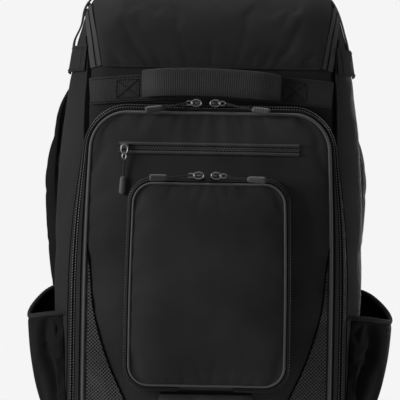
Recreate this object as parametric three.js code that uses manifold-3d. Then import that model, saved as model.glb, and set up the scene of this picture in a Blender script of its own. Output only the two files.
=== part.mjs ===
// Wheeled kit bag, in millimetres. +Z is up and the front faces -Y.
// Cloth pieces are thin hollow walls, and pieces sewn on each other keep a small gap.

import * as THREE from 'three';
import { RoundedBoxGeometry } from 'three/addons/geometries/RoundedBoxGeometry.js';
import { mergeVertices } from 'three/addons/utils/BufferGeometryUtils.js';
import Module from 'manifold-3d';

const wasm = await Module();
wasm.setup();

// Thickness of the materials, and the clearance under a piece that is sewn on

const CLOTH = 2;
const TAPE = 1.4;
const MESH = 1;
const WEBBING = 1.8;
const PIPING_RADIUS = 2.2;
const GAP = 1;

// Depth of the middle of the footprint

const MIDDLE = 6;

// Body: one row for each level, with the half width, front, back and corner radii

const BODY = [
  { z: 22, half: 176, front: -56, back: 100, rFront: 50, rBack: 40 },
  { z: 30, half: 188, front: -65, back: 107, rFront: 50, rBack: 40 },
  { z: 50, half: 196, front: -69, back: 110, rFront: 50, rBack: 40 },
  { z: 180, half: 206, front: -71, back: 110, rFront: 55, rBack: 45 },
  { z: 320, half: 209, front: -71, back: 110, rFront: 55, rBack: 45 },
  { z: 440, half: 204, front: -70, back: 110, rFront: 55, rBack: 45 },
  { z: 530, half: 194, front: -68, back: 110, rFront: 55, rBack: 45 },
  { z: 590, half: 184, front: -64, back: 109, rFront: 55, rBack: 45 },
  { z: 635, half: 173, front: -54, back: 106, rFront: 55, rBack: 45 },
  { z: 660, half: 161, front: -38, back: 99, rFront: 55, rBack: 45 },
  { z: 675, half: 145, front: -17, back: 88, rFront: 52, rBack: 45 },
  { z: 682, half: 122, front: 6, back: 70, rFront: 30, rBack: 30 },
];

// Lid: the opening that it closes, and how far it laps over the edge. Seen from the front the opening
// widens upwards, and seen from the side its low edge climbs from the front to the top of the sides.

const LID = { low: 558, lowHalf: 140, high: 640, highHalf: 154, back: 80, lap: 6, lift: 1.2 };
const LID_SIDE = { climbFrom: -30, climbTo: 0, low: 654 };
const LID_ZIP = { width: 17, steps: 18 };
const LID_ZIP_ROUTE = [
  { x: 158, y: -62, z: 555 },
  { x: 164, y: -48, z: 598 },
  { x: 169, y: -24, z: 628 },
  { x: 171, y: 0, z: 636 },
  { x: 171, y: 32, z: 637 },
  { x: 170, y: 66, z: 635 },
];

// Front compartment: its outline on the body, the outline of its face, and the front edge's depth by height.
// A shoulder is the width lost at the top, from the height shoulderFrom up.

const COMPARTMENT = {
  base: { half: 188, low: 44, high: 508, rLow: 60, rHigh: 66, shoulder: 33, shoulderFrom: 250 },
  face: { half: 163, low: 70, high: 496, rLow: 48, rHigh: 54, shoulder: 6, shoulderFrom: 250 },
  edge: [
    { z: 70, y: -116 },
    { z: 120, y: -122 },
    { z: 230, y: -124 },
    { z: 340, y: -120 },
    { z: 440, y: -110 },
    { z: 496, y: -101 },
  ],
  crown: 7,
  belly: 4,
};

// Small pocket on the face of the front compartment

const POCKET = {
  base: { half: 106, low: 132, high: 408, rLow: 31, rHigh: 31, shoulder: 3, shoulderFrom: 200 },
  face: { half: 102, low: 138, high: 402, rLow: 27, rHigh: 27, shoulder: 3, shoulderFrom: 200 },
  edge: [
    { z: 138, y: -150 },
    { z: 270, y: -152 },
    { z: 402, y: -140 },
  ],
  crown: 6,
  belly: 2,
};

// Zips: the share of a side wall that a tape covers, and the length and place of the straight one

const SIDE_TAPE = { from: 0.22, to: 0.78, lift: 1.4 };
const SLASH_ZIP = { left: -120, right: 117, z: 447, height: 16 };

// Sliders by zip, and the far ends of their pulls

const PULLS = [
  { name: 'front_left', on: 'front', x: -19, z: 508, end: { x: -86, y: -115, z: 500 } },
  { name: 'front_right', on: 'front', x: 2, z: 508, end: { x: 78, y: -115, z: 497 } },
  { name: 'pocket_left', on: 'pocket', x: -12, z: 412, end: { x: -78, y: -151, z: 408 } },
  { name: 'pocket_right', on: 'pocket', x: 7, z: 412, end: { x: 73, y: -151, z: 407 } },
  { name: 'slash', on: 'slash', x: -112, z: 449, end: { x: -114, y: -127, z: 386 } },
];
const SLIDER = { long: 11, wide: 7, tall: 5, round: 1.5 };
const PULL_SECTIONS = [
  { share: 0, wide: 1.1, thick: 1.1 },
  { share: 0.6, wide: 1.1, thick: 1.1 },
  { share: 0.65, wide: 3.4, thick: 2.2 },
  { share: 0.96, wide: 3.8, thick: 2.4 },
  { share: 1, wide: 2.4, thick: 1.6 },
];

// Mesh panels: the inner edge by height, in the compartment's lower corners

const MESH_EDGE = [
  { z: 82, x: 91 },
  { z: 118, x: 107 },
  { z: 170, x: 130 },
  { z: 230, x: 148 },
  { z: 292, x: 155 },
];
const MESH_MARGIN = 4;

// Webbing of the handles: half lengths, widths and standing heights

const HANDLE_BAND = { half: 162, width: 34, z: 529, drop: 9, steps: 24 };
const GRAB_HANDLE = { half: 92, width: 38, thick: 4.5, z: 534, rise: 22, drop: 3 };
const LOWER_LOOP = { half: 61, width: 25, z: 114, rise: 9 };

// Webbing tabs round the sides of the body, and the compression straps above them

const SIDE_TAB = { width: 36, lift: 3, steps: 12 };
const SIDE_TAB_ROUTE = [
  { x: 175, y: -49, z: 564 },
  { x: 183, y: -38, z: 564 },
  { x: 188, y: -22, z: 564 },
  { x: 190, y: 26, z: 564 },
];
const COMPRESSION_STRAP = { width: 20, lift: 4.2, steps: 10 };
const COMPRESSION_ROUTE = [
  { x: 190, y: -16, z: 586 },
  { x: 182, y: -12, z: 612 },
  { x: 174, y: -6, z: 640 },
  { x: 160, y: 2, z: 664 },
];

// Bottle pockets: the mouth slopes up to the back, and the wall swells towards it. A fold dents the wall.

const BOTTLE = {
  front: -48,
  back: 78,
  low: 58,
  mouthFront: 221,
  mouthBack: 250,
  sag: 20,
  columns: 14,
  fullness: 0.55,
};
const BOTTLE_FOLD = { deep: 5, at: 0.24, wide: 0.08 };
const BOTTLE_SWELL = [
  { z: 0, out: 3.2 },
  { z: 0.1, out: 15 },
  { z: 0.33, out: 30 },
  { z: 0.66, out: 40 },
  { z: 1, out: 44 },
];
const BOTTLE_LEVELS = [0, 0.05, 0.15, 0.35, 0.65, 1];
const RIM = { height: 8, thick: 3.2 };

// Shoulder straps: the middle line, and how far the strap is turned edge on

const STRAP = { width: 62, thick: 12, steps: 22 };
const STRAP_ROUTE = [
  { x: 72, y: 147, z: 590, turn: 0 },
  { x: 112, y: 148, z: 578, turn: 8 },
  { x: 160, y: 147, z: 545, turn: 30 },
  { x: 194, y: 143, z: 505, turn: 62 },
  { x: 213, y: 139, z: 462, turn: 84 },
  { x: 221, y: 136, z: 421, turn: 92 },
  { x: 223, y: 134, z: 385, turn: 97 },
  { x: 217, y: 134, z: 320, turn: 104 },
  { x: 210, y: 134, z: 258, turn: 102 },
  { x: 203, y: 134, z: 210, turn: 94 },
];
const STRAP_WEB = { width: 25, steps: 8 };
const STRAP_WEB_ROUTE = [
  { x: 202, y: 134, z: 205, turn: 92 },
  { x: 196, y: 131, z: 167, turn: 80 },
  { x: 187, y: 123, z: 132, turn: 58 },
  { x: 178, y: 115, z: 106, turn: 38 },
  { x: 170, y: 111.6, z: 82, turn: 22 },
];

// Back panel: padded tray over the tubes of the pull-out handle

const BACK_PANEL = {
  base: { half: 148, low: 100, high: 598, rLow: 40, rHigh: 44, shoulder: 0, shoulderFrom: 100 },
  face: { half: 141, low: 107, high: 591, rLow: 33, rHigh: 37, shoulder: 0, shoulderFrom: 100 },
  seat: 110.6,
  depth: 133,
  crown: 4,
  belly: 2,
  wall: 3,
};

// Pull-out handle: fixed tubes, the rods that slide in them, and the grip on the rods

const TROLLEY = { x: 62, y: 117.6, fit: 0.6 };
const TUBE = { wide: 20, deep: 13, wall: 1.9, low: 116, high: 590 };
const ROD = { low: 120, high: 632 };
const GRIP = { wide: 150, deep: 18, low: 632.4, high: 658, round: 7 };

// Wheels, the housings that hold their axles, and the front feet

const WHEEL = { x: 152, y: 92, radius: 41, segments: 24, axle: 5, bore: 5.4 };
const TYRE_PROFILE = [
  { r: 32, x: -10 },
  { r: 37, x: -13 },
  { r: 41, x: -8 },
  { r: 41, x: 8 },
  { r: 37, x: 13 },
  { r: 32, x: 10 },
];
const HUB_PROFILE = [
  { r: WHEEL.bore, x: -11 },
  { r: 12, x: -11 },
  { r: 15, x: -6 },
  { r: 31.4, x: -9 },
  { r: 31.4, x: 9 },
  { r: 15, x: 6 },
  { r: 12, x: 11 },
  { r: WHEEL.bore, x: 11 },
];
const HOUSING = { width: 40, wall: 4, outer: 50, inner: 44.5, low: 24, back: 108, fit: 0.6 };
const FOOT = { x: 135, y: -35, wide: 36, deep: 30, high: 21.4, round: 6 };

const FINISHES = {
  cloth: { color: 0x1b1b1d, roughness: 0.85, metalness: 0 },
  mesh: { color: 0x232325, roughness: 0.9, metalness: 0 },
  tape: { color: 0x2c2c2e, roughness: 0.75, metalness: 0 },
  webbing: { color: 0x202022, roughness: 0.7, metalness: 0 },
  piping: { color: 0x303033, roughness: 0.5, metalness: 0 },
  padding: { color: 0x161617, roughness: 0.9, metalness: 0 },
  slider: { color: 0x3a3a3d, roughness: 0.35, metalness: 0.8 },
  pull: { color: 0x2a2a2c, roughness: 0.5, metalness: 0 },
  plastic: { color: 0x141416, roughness: 0.5, metalness: 0 },
  aluminium: { color: 0x8d8f92, roughness: 0.35, metalness: 0.9 },
  tyre: { color: 0x181818, roughness: 0.8, metalness: 0 },
};

// Steps of an outline: corner arcs, and the straight sides between them

const CORNER_STEPS = 5;
const SIDE_STEPS = 4;
const FACE_SHARES = [1, 0.72, 0.4];
const PIPING_STEPS = 56;

// How flat the middle of a crowned face and of a standing arch of webbing is

const CROWN_POWER = 4;
const ARCH_POWER = 8;

const UP = new THREE.Vector3(0, 0, 1);
const FORWARD = new THREE.Vector3(0, -1, 0);

// Meshes and solids

const bag = new THREE.Group();

function add(name, finish, geometry) {
  const mesh = new THREE.Mesh(geometry, new THREE.MeshStandardMaterial(FINISHES[finish]));
  mesh.name = name;
  bag.add(mesh);
}

// Positions alone, with shared corners
function welded(geometry) {
  const bare = new THREE.BufferGeometry();
  bare.setAttribute('position', geometry.getAttribute('position'));
  bare.setIndex(geometry.getIndex());
  return mergeVertices(bare);
}

function mirrored(geometry) {
  const image = welded(geometry).scale(-1, 1, 1);
  image.setIndex([...image.getIndex().array].reverse());
  return image;
}

// Piece on the right, and its mirror image on the left
function addPair(name, finish, geometry) {
  add(`${name}_right`, finish, geometry);
  add(`${name}_left`, finish, mirrored(geometry));
}

function solid(geometry) {
  const merged = welded(geometry);
  return new wasm.Manifold(new wasm.Mesh({
    numProp: 3,
    vertProperties: new Float32Array(merged.getAttribute('position').array),
    triVerts: new Uint32Array(merged.getIndex().array),
  }));
}

function geometryOf(manifold) {
  const { vertProperties, triVerts } = manifold.getMesh();
  const geometry = new THREE.BufferGeometry();
  geometry.setAttribute('position', new THREE.BufferAttribute(vertProperties, 3));
  geometry.setIndex(new THREE.BufferAttribute(triVerts, 1));
  return geometry;
}

// Block with a cut on the right and its mirror image on the left
function cutBothSides(block, cut) {
  return block.subtract(cut).subtract(solid(mirrored(geometryOf(cut))));
}

function volumeOf(points, triangles) {
  let total = 0;
  for (let i = 0; i < triangles.length; i += 3) {
    const [a, b, c] = triangles.slice(i, i + 3).map((index) => points[index]);
    total += a.dot(b.clone().cross(c)) / 6;
  }
  return total;
}

function box({ x, y, z }) {
  const size = [x, y, z].map(([low, high]) => high - low);
  const middle = [x, y, z].map(([low, high]) => (low + high) / 2);
  return new THREE.BoxGeometry(...size).translate(...middle);
}

// Closed solid through rings of points. A fan closes each end, or, where the rings are thin walls that
// run out along one face and back along the other, a strip from face to face.

function loft(rings, { thin = false } = {}) {
  const around = rings[0].length;
  const points = rings.flat();
  const last = points.length - around;
  const triangles = [];
  for (let row = 0; row < last; row += around) {
    for (let j = 0; j < around; j++) {
      const next = (j + 1) % around;
      const [a, b] = [row + j, row + next];
      triangles.push(a, b, b + around, a, b + around, a + around);
    }
  }
  const closeEnd = thin ? stripEnd : fanEnd;
  closeEnd(points, triangles, 0, around, true);
  closeEnd(points, triangles, last, around, false);
  const inward = volumeOf(points, triangles) < 0;
  const geometry = new THREE.BufferGeometry().setFromPoints(points);
  geometry.setIndex(inward ? triangles.toReversed() : triangles);
  return geometry;
}

function fanEnd(points, triangles, first, around, atStart) {
  const middle = new THREE.Vector3();
  for (let j = 0; j < around; j++) {
    middle.addScaledVector(points[first + j], 1 / around);
  }
  const centre = points.push(middle) - 1;
  for (let j = 0; j < around; j++) {
    const edge = [first + j, first + ((j + 1) % around)];
    triangles.push(centre, ...(atStart ? edge.reverse() : edge));
  }
}

function stripEnd(points, triangles, first, around, atStart) {
  for (let j = 0; j < around / 2 - 1; j++) {
    const near = [first + j, first + j + 1];
    const far = [first + around - 2 - j, first + around - 1 - j];
    const quad = [near[0], near[1], far[0], near[0], far[0], far[1]];
    triangles.push(...(atStart ? quad.reverse() : quad));
  }
}

// Shape in the front view, extruded from a depth towards the front
function extrudeForward(shape, from, depth) {
  const block = new THREE.ExtrudeGeometry(shape, { depth, bevelEnabled: false });
  return solid(block.rotateX(Math.PI / 2).translate(0, from, 0));
}

// Shape in the side view, extruded to both sides of a middle
function extrudeAcross(shape, middle, depth) {
  const block = new THREE.ExtrudeGeometry(shape, { depth, bevelEnabled: false, curveSegments: 8 });
  return solid(block.rotateX(Math.PI / 2).rotateZ(Math.PI / 2).translate(middle - depth / 2, 0, 0));
}

// Tables and outlines

// Smooth value of a column of a table at a height, through all of its rows
function columnAt(table, column, z) {
  const last = table.length - 1;
  const at = THREE.MathUtils.clamp(z, table[0].z, table[last].z);
  const row = Math.min(table.findLastIndex((entry) => entry.z <= at), last - 1);
  const slope = (index) => {
    const below = table[Math.max(index - 1, 0)];
    const above = table[Math.min(index + 1, last)];
    return (above[column] - below[column]) / (above.z - below.z);
  };
  const span = table[row + 1].z - table[row].z;
  const t = (at - table[row].z) / span;
  const start = (1 + 2 * t) * table[row][column] + t * span * slope(row);
  const end = (3 - 2 * t) * table[row + 1][column] + (t - 1) * span * slope(row + 1);
  return (1 - t) ** 2 * start + t ** 2 * end;
}

// Rounded rectangle, counterclockwise from the start of the low corner at +u
function roundedOutline({ half, low, high, rLow, rHigh }) {
  const corners = [
    { u: half - rLow, v: low + rLow, r: rLow, from: -90 },
    { u: half - rHigh, v: high - rHigh, r: rHigh, from: 0 },
    { u: rHigh - half, v: high - rHigh, r: rHigh, from: 90 },
    { u: rLow - half, v: low + rLow, r: rLow, from: 180 },
  ];
  const onArc = ({ u, v, r, from }, step) => {
    const angle = THREE.MathUtils.degToRad(from + (90 * step) / CORNER_STEPS);
    return new THREE.Vector2(u + r * Math.cos(angle), v + r * Math.sin(angle));
  };
  const points = [];
  corners.forEach((corner, index) => {
    for (let step = 0; step <= CORNER_STEPS; step++) {
      points.push(onArc(corner, step));
    }
    const sideEnd = onArc(corners[(index + 1) % corners.length], 0);
    const sideStart = points.at(-1);
    for (let step = 1; step < SIDE_STEPS; step++) {
      points.push(sideStart.clone().lerp(sideEnd, step / SIDE_STEPS));
    }
  });
  return points;
}

// Rings moved out along the surface that they span, or in where the distance is negative.
// Where a stack of rings has flat ends, its end rings also move along them.
function offsetRings(rings, distance, { flatEnds = false } = {}) {
  const around = rings[0].length;
  const last = rings.length - 1;
  return rings.map((ring, row) => ring.map((point, j) => {
    const along = ring[(j + 1) % around].clone().sub(ring[(j + around - 1) % around]);
    const up = rings[Math.min(row + 1, last)][j].clone().sub(rings[Math.max(row - 1, 0)][j]);
    const wall = along.cross(up).normalize();
    const ends = flatEnds ? { 0: UP.clone().negate(), [last]: UP } : {};
    const end = ends[row] ?? wall;
    const mitre = wall.clone().add(end).divideScalar(1 + wall.dot(end));
    return point.clone().addScaledVector(mitre, distance);
  }));
}

// Body surface

function bodySection(z) {
  const at = (column) => columnAt(BODY, column, z);
  return { half: at('half'), low: at('front'), high: at('back'), rLow: at('rFront'), rHigh: at('rBack') };
}

function bodyRings(offset) {
  const rings = BODY.map(({ z }) => {
    return roundedOutline(bodySection(z)).map(({ x, y }) => new THREE.Vector3(x, y, z));
  });
  return offsetRings(rings, offset, { flatEnds: true });
}

// Distance of a point from the body's outline at its height
function bodyDistance({ x, y, z }) {
  const { half, low, high, rLow, rHigh } = bodySection(z);
  const middle = (low + high) / 2;
  const r = y < middle ? rLow : rHigh;
  const u = Math.abs(x) - half + r;
  const v = Math.abs(y - middle) - (high - low) / 2 + r;
  return Math.min(Math.max(u, v), 0) + Math.hypot(Math.max(u, 0), Math.max(v, 0)) - r;
}

function bodySlope(point) {
  const step = 0.5;
  const slope = ['x', 'y', 'z'].map((axis) => {
    const [above, below] = [point.clone(), point.clone()];
    above[axis] += step;
    below[axis] -= step;
    return (bodyDistance(above) - bodyDistance(below)) / (2 * step);
  });
  return new THREE.Vector3(...slope);
}

// Nearest point of the body's surface, lifted off it by a gap
function onBody(point, gap) {
  const rounds = 8;
  const found = point.clone();
  for (let round = 0; round < rounds; round++) {
    const slope = bodySlope(found);
    found.addScaledVector(slope, -bodyDistance(found) / slope.lengthSq());
  }
  return found.addScaledVector(bodySlope(found).normalize(), gap);
}

function bodyFront(x, z) {
  const { half, low, rLow } = bodySection(z);
  const past = Math.min(Math.max(Math.abs(x) - half + rLow, 0), rLow);
  return low + rLow - Math.sqrt(rLow ** 2 - past ** 2);
}

function bodySide(y, z) {
  const { half, low, high, rLow, rHigh } = bodySection(z);
  const pastFront = Math.max(low + rLow - y, 0);
  const pastBack = Math.max(y - high + rHigh, 0);
  const corner = pastFront > 0 ? rLow : rHigh;
  return half - corner + Math.sqrt(corner ** 2 - Math.max(pastFront, pastBack) ** 2);
}

// Strips, webbing and cords

// Band that lies on the body along a route, with its width split so that it follows the curve
function bodyBand(route, { width, lift = GAP }, thick) {
  const shares = [-0.5, 0, 0.5];
  const rings = route.map((point, index) => {
    const before = route[Math.max(index - 1, 0)];
    const after = route[Math.min(index + 1, route.length - 1)];
    const onSkin = onBody(point, 0);
    const across = bodySlope(onSkin).cross(after.clone().sub(before)).normalize();
    const row = shares.map((share) => onSkin.clone().addScaledVector(across, share * width));
    const inner = row.map((place) => onBody(place, lift));
    const outer = row.map((place) => onBody(place, lift + thick));
    return [...inner, ...outer.reverse()];
  });
  return loft(rings, { thin: true });
}

function routeCurve(rows) {
  return new THREE.CatmullRomCurve3(rows.map(({ x, y, z }) => new THREE.Vector3(x, y, z)));
}

// Section swept along a route, with its width turned about the route by an angle from the back's plane
function turnedStrap(rows, steps, section) {
  const curve = routeCurve(rows);
  const turns = new THREE.CatmullRomCurve3(rows.map(({ turn }, index) => new THREE.Vector3(index, turn, 0)));
  const rings = Array.from({ length: steps + 1 }, (_, step) => {
    const t = step / steps;
    const middle = curve.getPoint(t);
    const tangent = curve.getTangent(t);
    const turn = THREE.MathUtils.degToRad(turns.getPoint(t).y);
    const across = FORWARD.clone().cross(tangent).normalize().applyAxisAngle(tangent, turn);
    const up = across.clone().cross(tangent);
    return section.map(({ x, y }) => {
      return middle.clone().addScaledVector(across, x).addScaledVector(up, y);
    });
  });
  return loft(rings);
}

function stripSection(width, thick) {
  const corners = [[-1, -1], [1, -1], [1, 1], [-1, 1]];
  return corners.map(([u, v]) => new THREE.Vector2((u * width) / 2, (v * thick) / 2));
}

// Section of a pad: an oval with full sides
function padSection(width, thick) {
  const sides = 10;
  const fullness = { across: 0.5, up: 0.7 };
  const filled = (share, power) => Math.sign(share) * Math.abs(share) ** power;
  return Array.from({ length: sides }, (_, index) => {
    const angle = ((index + 0.5) / sides) * Math.PI * 2;
    const across = filled(Math.cos(angle), fullness.across);
    const up = filled(Math.sin(angle), fullness.up);
    return new THREE.Vector2((across * width) / 2, (up * thick) / 2);
  });
}

// Cloth trays: a crowned face, a side wall that swells a little, and an open base

function halfAt({ half, high, shoulder, shoulderFrom }, z) {
  return half - shoulder * Math.max((z - shoulderFrom) / (high - shoulderFrom), 0) ** 2;
}

function trayOutline(shape, inset) {
  const drawn = {
    half: shape.half - inset,
    low: shape.low + inset,
    high: shape.high - inset,
    rLow: shape.rLow - inset,
    rHigh: shape.rHigh - inset,
  };
  return roundedOutline(drawn).map(({ x, y }) => ({ x: (x * halfAt(shape, y)) / shape.half, z: y }));
}

function midOutline({ base, face, belly }) {
  const mean = (column) => (base[column] + face[column]) / 2;
  return {
    half: mean('half') + belly,
    low: mean('low') - belly,
    high: mean('high') + belly,
    rLow: mean('rLow'),
    rHigh: mean('rHigh'),
    shoulder: mean('shoulder'),
    shoulderFrom: mean('shoulderFrom'),
  };
}

// Depth of a tray's crowned face at a place on it
function faceDepth({ face, edge, crown }, x, z) {
  const u = Math.min(Math.abs(x) / halfAt(face, z), 1);
  const middle = (face.low + face.high) / 2;
  const v = Math.min(Math.abs(z - middle) / (face.high - middle), 1);
  return columnAt(edge, 'y', z) - crown * (1 - u ** CROWN_POWER) * (1 - v ** CROWN_POWER);
}

// Rings from the base to the middle of the face, drawn in by an inset
function trayRings(tray, seat, inset) {
  const base = trayOutline(tray.base, inset).map(({ x, z }) => new THREE.Vector3(x, seat(x, z), z));
  const edge = trayOutline(tray.face, inset);
  const middle = (tray.face.low + tray.face.high) / 2;
  const faces = FACE_SHARES.map((share) => edge.map((place) => {
    const x = place.x * share;
    const z = middle + (place.z - middle) * share;
    return new THREE.Vector3(x, faceDepth(tray, x, z) + inset, z);
  }));
  const side = trayOutline(midOutline(tray), inset).map(({ x, z }, j) => {
    return new THREE.Vector3(x, (base[j].y + faces[0][j].y) / 2, z);
  });
  return [base, side, ...faces];
}

function trayShell(tray, seat, wall) {
  return loft([...trayRings(tray, seat, 0).toReversed(), ...trayRings(tray, seat, wall)]);
}

// Closed tube round the edge of a tray's face
function trayPiping(tray, seat) {
  const [, , edge] = offsetRings(trayRings(tray, seat, 0), PIPING_RADIUS + GAP);
  const curve = new THREE.CatmullRomCurve3(edge, true);
  return new THREE.TubeGeometry(curve, PIPING_STEPS, PIPING_RADIUS, 5, true);
}

// Tape on the side wall of a tray, up one side, over the top and down the other
function trayTape(tray, seat) {
  const tapeRing = (lift) => {
    const [base, side, edge] = offsetRings(trayRings(tray, seat, 0), lift);
    const from = base.map((point, j) => point.clone().lerp(side[j], SIDE_TAPE.from * 2));
    const to = side.map((point, j) => point.clone().lerp(edge[j], SIDE_TAPE.to * 2 - 1));
    return { from, side, to };
  };
  const inner = tapeRing(SIDE_TAPE.lift);
  const outer = tapeRing(SIDE_TAPE.lift + TAPE);
  const last = inner.side.length - CORNER_STEPS - SIDE_STEPS;
  const rings = [];
  for (let j = CORNER_STEPS; j <= last; j++) {
    rings.push([inner.from[j], inner.side[j], inner.to[j], outer.to[j], outer.side[j], outer.from[j]]);
  }
  return loft(rings, { thin: true });
}

// Body and lid

// Space above the lid's edge, widened by a lap
function lidSpace(lap) {
  const reach = 200;
  const top = LID.high + reach;
  const back = LID.back + lap;
  const [lowHalf, highHalf] = [LID.lowHalf + lap, LID.highHalf + lap];
  const [low, sideLow] = [LID.low - lap, LID_SIDE.low - lap];
  const corner = (u, v) => new THREE.Vector2(u, v);
  const frontView = new THREE.Shape([
    corner(-lowHalf, low),
    corner(lowHalf, low),
    corner(highHalf, LID.high),
    corner(highHalf, top),
    corner(-highHalf, top),
    corner(-highHalf, LID.high),
  ]);
  const sideView = new THREE.Shape([
    corner(-reach, low),
    corner(LID_SIDE.climbFrom, low),
    corner(LID_SIDE.climbTo, sideLow),
    corner(back, sideLow),
    corner(back, top),
    corner(-reach, top),
  ]);
  return extrudeForward(frontView, back, back + reach).intersect(extrudeAcross(sideView, 0, 2 * reach));
}

// Block of a wheel housing: an arch over the wheel, flat at the back, widened by a fit.
// The well that it sits in also runs out below and behind the body.
function housingBlock(fit) {
  const outer = HOUSING.outer + fit;
  const reach = fit > 0 ? HOUSING.outer : 0;
  const low = HOUSING.low - reach;
  const back = HOUSING.back + reach;
  const shape = new THREE.Shape();
  shape.moveTo(back, low);
  shape.lineTo(back, WHEEL.radius + outer);
  shape.lineTo(WHEEL.y, WHEEL.radius + outer);
  shape.absarc(WHEEL.y, WHEEL.radius, outer, Math.PI / 2, Math.PI, false);
  shape.lineTo(WHEEL.y - outer, low);
  return extrudeAcross(shape, WHEEL.x, HOUSING.width + 2 * fit);
}

const outerBody = solid(loft(bodyRings(0)));
const innerBody = solid(loft(bodyRings(-CLOTH)));
const openShell = outerBody.subtract(innerBody).subtract(lidSpace(0));
add('main_body', 'cloth', geometryOf(cutBothSides(openShell, housingBlock(HOUSING.fit))));

const lidSkin = solid(loft(bodyRings(LID.lift + CLOTH))).subtract(solid(loft(bodyRings(LID.lift))));
add('lid', 'cloth', geometryOf(lidSkin.intersect(lidSpace(LID.lap))));

const lidZipRoute = routeCurve(LID_ZIP_ROUTE).getSpacedPoints(LID_ZIP.steps);
addPair('lid_zip', 'tape', bodyBand(lidZipRoute, LID_ZIP, TAPE));

// Front compartment and pocket

const compartmentSeat = (x, z) => bodyFront(x, z) - GAP;
const pocketSeat = (x, z) => faceDepth(COMPARTMENT, x, z) - GAP;

add('front_compartment', 'cloth', trayShell(COMPARTMENT, compartmentSeat, CLOTH));
add('front_zip', 'tape', trayTape(COMPARTMENT, compartmentSeat));
add('front_piping', 'piping', trayPiping(COMPARTMENT, compartmentSeat));
add('pocket', 'cloth', trayShell(POCKET, pocketSeat, CLOTH));
add('pocket_zip', 'tape', trayTape(POCKET, pocketSeat));
add('pocket_piping', 'piping', trayPiping(POCKET, pocketSeat));

// Thin patch on the compartment's face between two edges, given by height
function facePatch(levels, left, right, thick) {
  const columns = 4;
  const rings = levels.map((z) => {
    const places = Array.from({ length: columns + 1 }, (_, index) => {
      return THREE.MathUtils.lerp(left(z), right(z), index / columns);
    });
    const row = (lift) => places.map((x) => new THREE.Vector3(x, faceDepth(COMPARTMENT, x, z) - lift, z));
    return [...row(GAP), ...row(GAP + thick).reverse()];
  });
  return loft(rings, { thin: true });
}

// Half width of the compartment's face at a height, inside its rounded low corners
function faceHalf(z) {
  const { low, rLow } = COMPARTMENT.face;
  const past = Math.max(low + rLow - z, 0);
  return halfAt(COMPARTMENT.face, z) - rLow + Math.sqrt(rLow ** 2 - past ** 2);
}

// Heights from one to another in equal steps
function heights(low, high, steps) {
  return Array.from({ length: steps + 1 }, (_, index) => THREE.MathUtils.lerp(low, high, index / steps));
}

const meshLevels = heights(MESH_EDGE[0].z, MESH_EDGE.at(-1).z, 9);
const meshInner = (z) => columnAt(MESH_EDGE, 'x', z);
const meshOuter = (z) => Math.max(faceHalf(z), meshInner(z) + 2 * MESH_MARGIN) - MESH_MARGIN;
addPair('mesh_panel', 'mesh', facePatch(meshLevels, meshInner, meshOuter, MESH));

const slashLevels = heights(SLASH_ZIP.z - SLASH_ZIP.height / 2, SLASH_ZIP.z + SLASH_ZIP.height / 2, 1);
add('slash_zip', 'tape', facePatch(slashLevels, () => SLASH_ZIP.left, () => SLASH_ZIP.right, TAPE));

// Sliders and pulls

// Middle of a slider: in front of the straight zip, or on top of a tray near its front edge
function sliderPlace({ on, x, z }) {
  const depths = {
    slash: faceDepth(COMPARTMENT, x, z) - 2 * GAP - TAPE - SLIDER.tall / 2,
    front: COMPARTMENT.edge.at(-1).y + SLIDER.wide / 2,
    pocket: POCKET.edge.at(-1).y + SLIDER.wide / 2,
  };
  return new THREE.Vector3(x, depths[on], z);
}

// Thin cord with a moulded end
function pullCord(from, to) {
  const sides = 8;
  const along = to.clone().sub(from).normalize();
  const across = FORWARD.clone().cross(along).normalize();
  const up = along.clone().cross(across);
  const rings = PULL_SECTIONS.map(({ share, wide, thick }) => {
    const middle = from.clone().lerp(to, share);
    return Array.from({ length: sides }, (_, index) => {
      const angle = (index / sides) * Math.PI * 2;
      const point = middle.clone().addScaledVector(across, wide * Math.cos(angle));
      return point.addScaledVector(up, thick * Math.sin(angle));
    });
  });
  return loft(rings);
}

for (const row of PULLS) {
  const { long, wide, tall, round } = SLIDER;
  const upright = row.on === 'slash';
  const place = sliderPlace(row);
  const size = upright ? [long, tall, wide] : [long, wide, tall];
  add(`${row.name}_slider`, 'slider', new RoundedBoxGeometry(...size, 1, round).translate(...place));
  const end = new THREE.Vector3(row.end.x, row.end.y, row.end.z);
  const way = upright ? UP.clone().negate() : new THREE.Vector3(Math.sign(end.x), 0, 0);
  const start = place.clone().addScaledVector(way, (upright ? wide : long) / 2 + GAP);
  add(`${row.name}_pull`, 'pull', pullCord(start, end));
}

// Handles, tabs and straps of webbing

const bandRoute = Array.from({ length: HANDLE_BAND.steps + 1 }, (_, index) => {
  const share = (index / HANDLE_BAND.steps) * 2 - 1;
  const x = HANDLE_BAND.half * share;
  const z = HANDLE_BAND.z - HANDLE_BAND.drop * share ** 2;
  return new THREE.Vector3(x, bodyFront(x, z), z);
});
add('handle_band', 'webbing', bodyBand(bandRoute, HANDLE_BAND, WEBBING));

// Webbing that stands off in an arch between two flat ends, facing the front
function arch({ half, width, thick = WEBBING, z, rise, drop = 0 }, seat) {
  const steps = 18;
  const section = stripSection(width, thick);
  const rings = Array.from({ length: steps + 1 }, (_, index) => {
    const share = (index / steps) * 2 - 1;
    const x = half * share;
    const height = z - drop * share ** 2;
    const middle = seat(x, height) - rise * (1 - share ** ARCH_POWER) - thick / 2;
    return section.map((corner) => new THREE.Vector3(x, middle + corner.y, height + corner.x));
  });
  return loft(rings);
}

const handleSeat = () => bodyFront(0, HANDLE_BAND.z) - 2 * GAP - WEBBING;
add('grab_handle', 'webbing', arch(GRAB_HANDLE, handleSeat));
const loopSeat = (x, z) => faceDepth(COMPARTMENT, x, z) - GAP;
add('lower_loop', 'webbing', arch(LOWER_LOOP, loopSeat));

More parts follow.
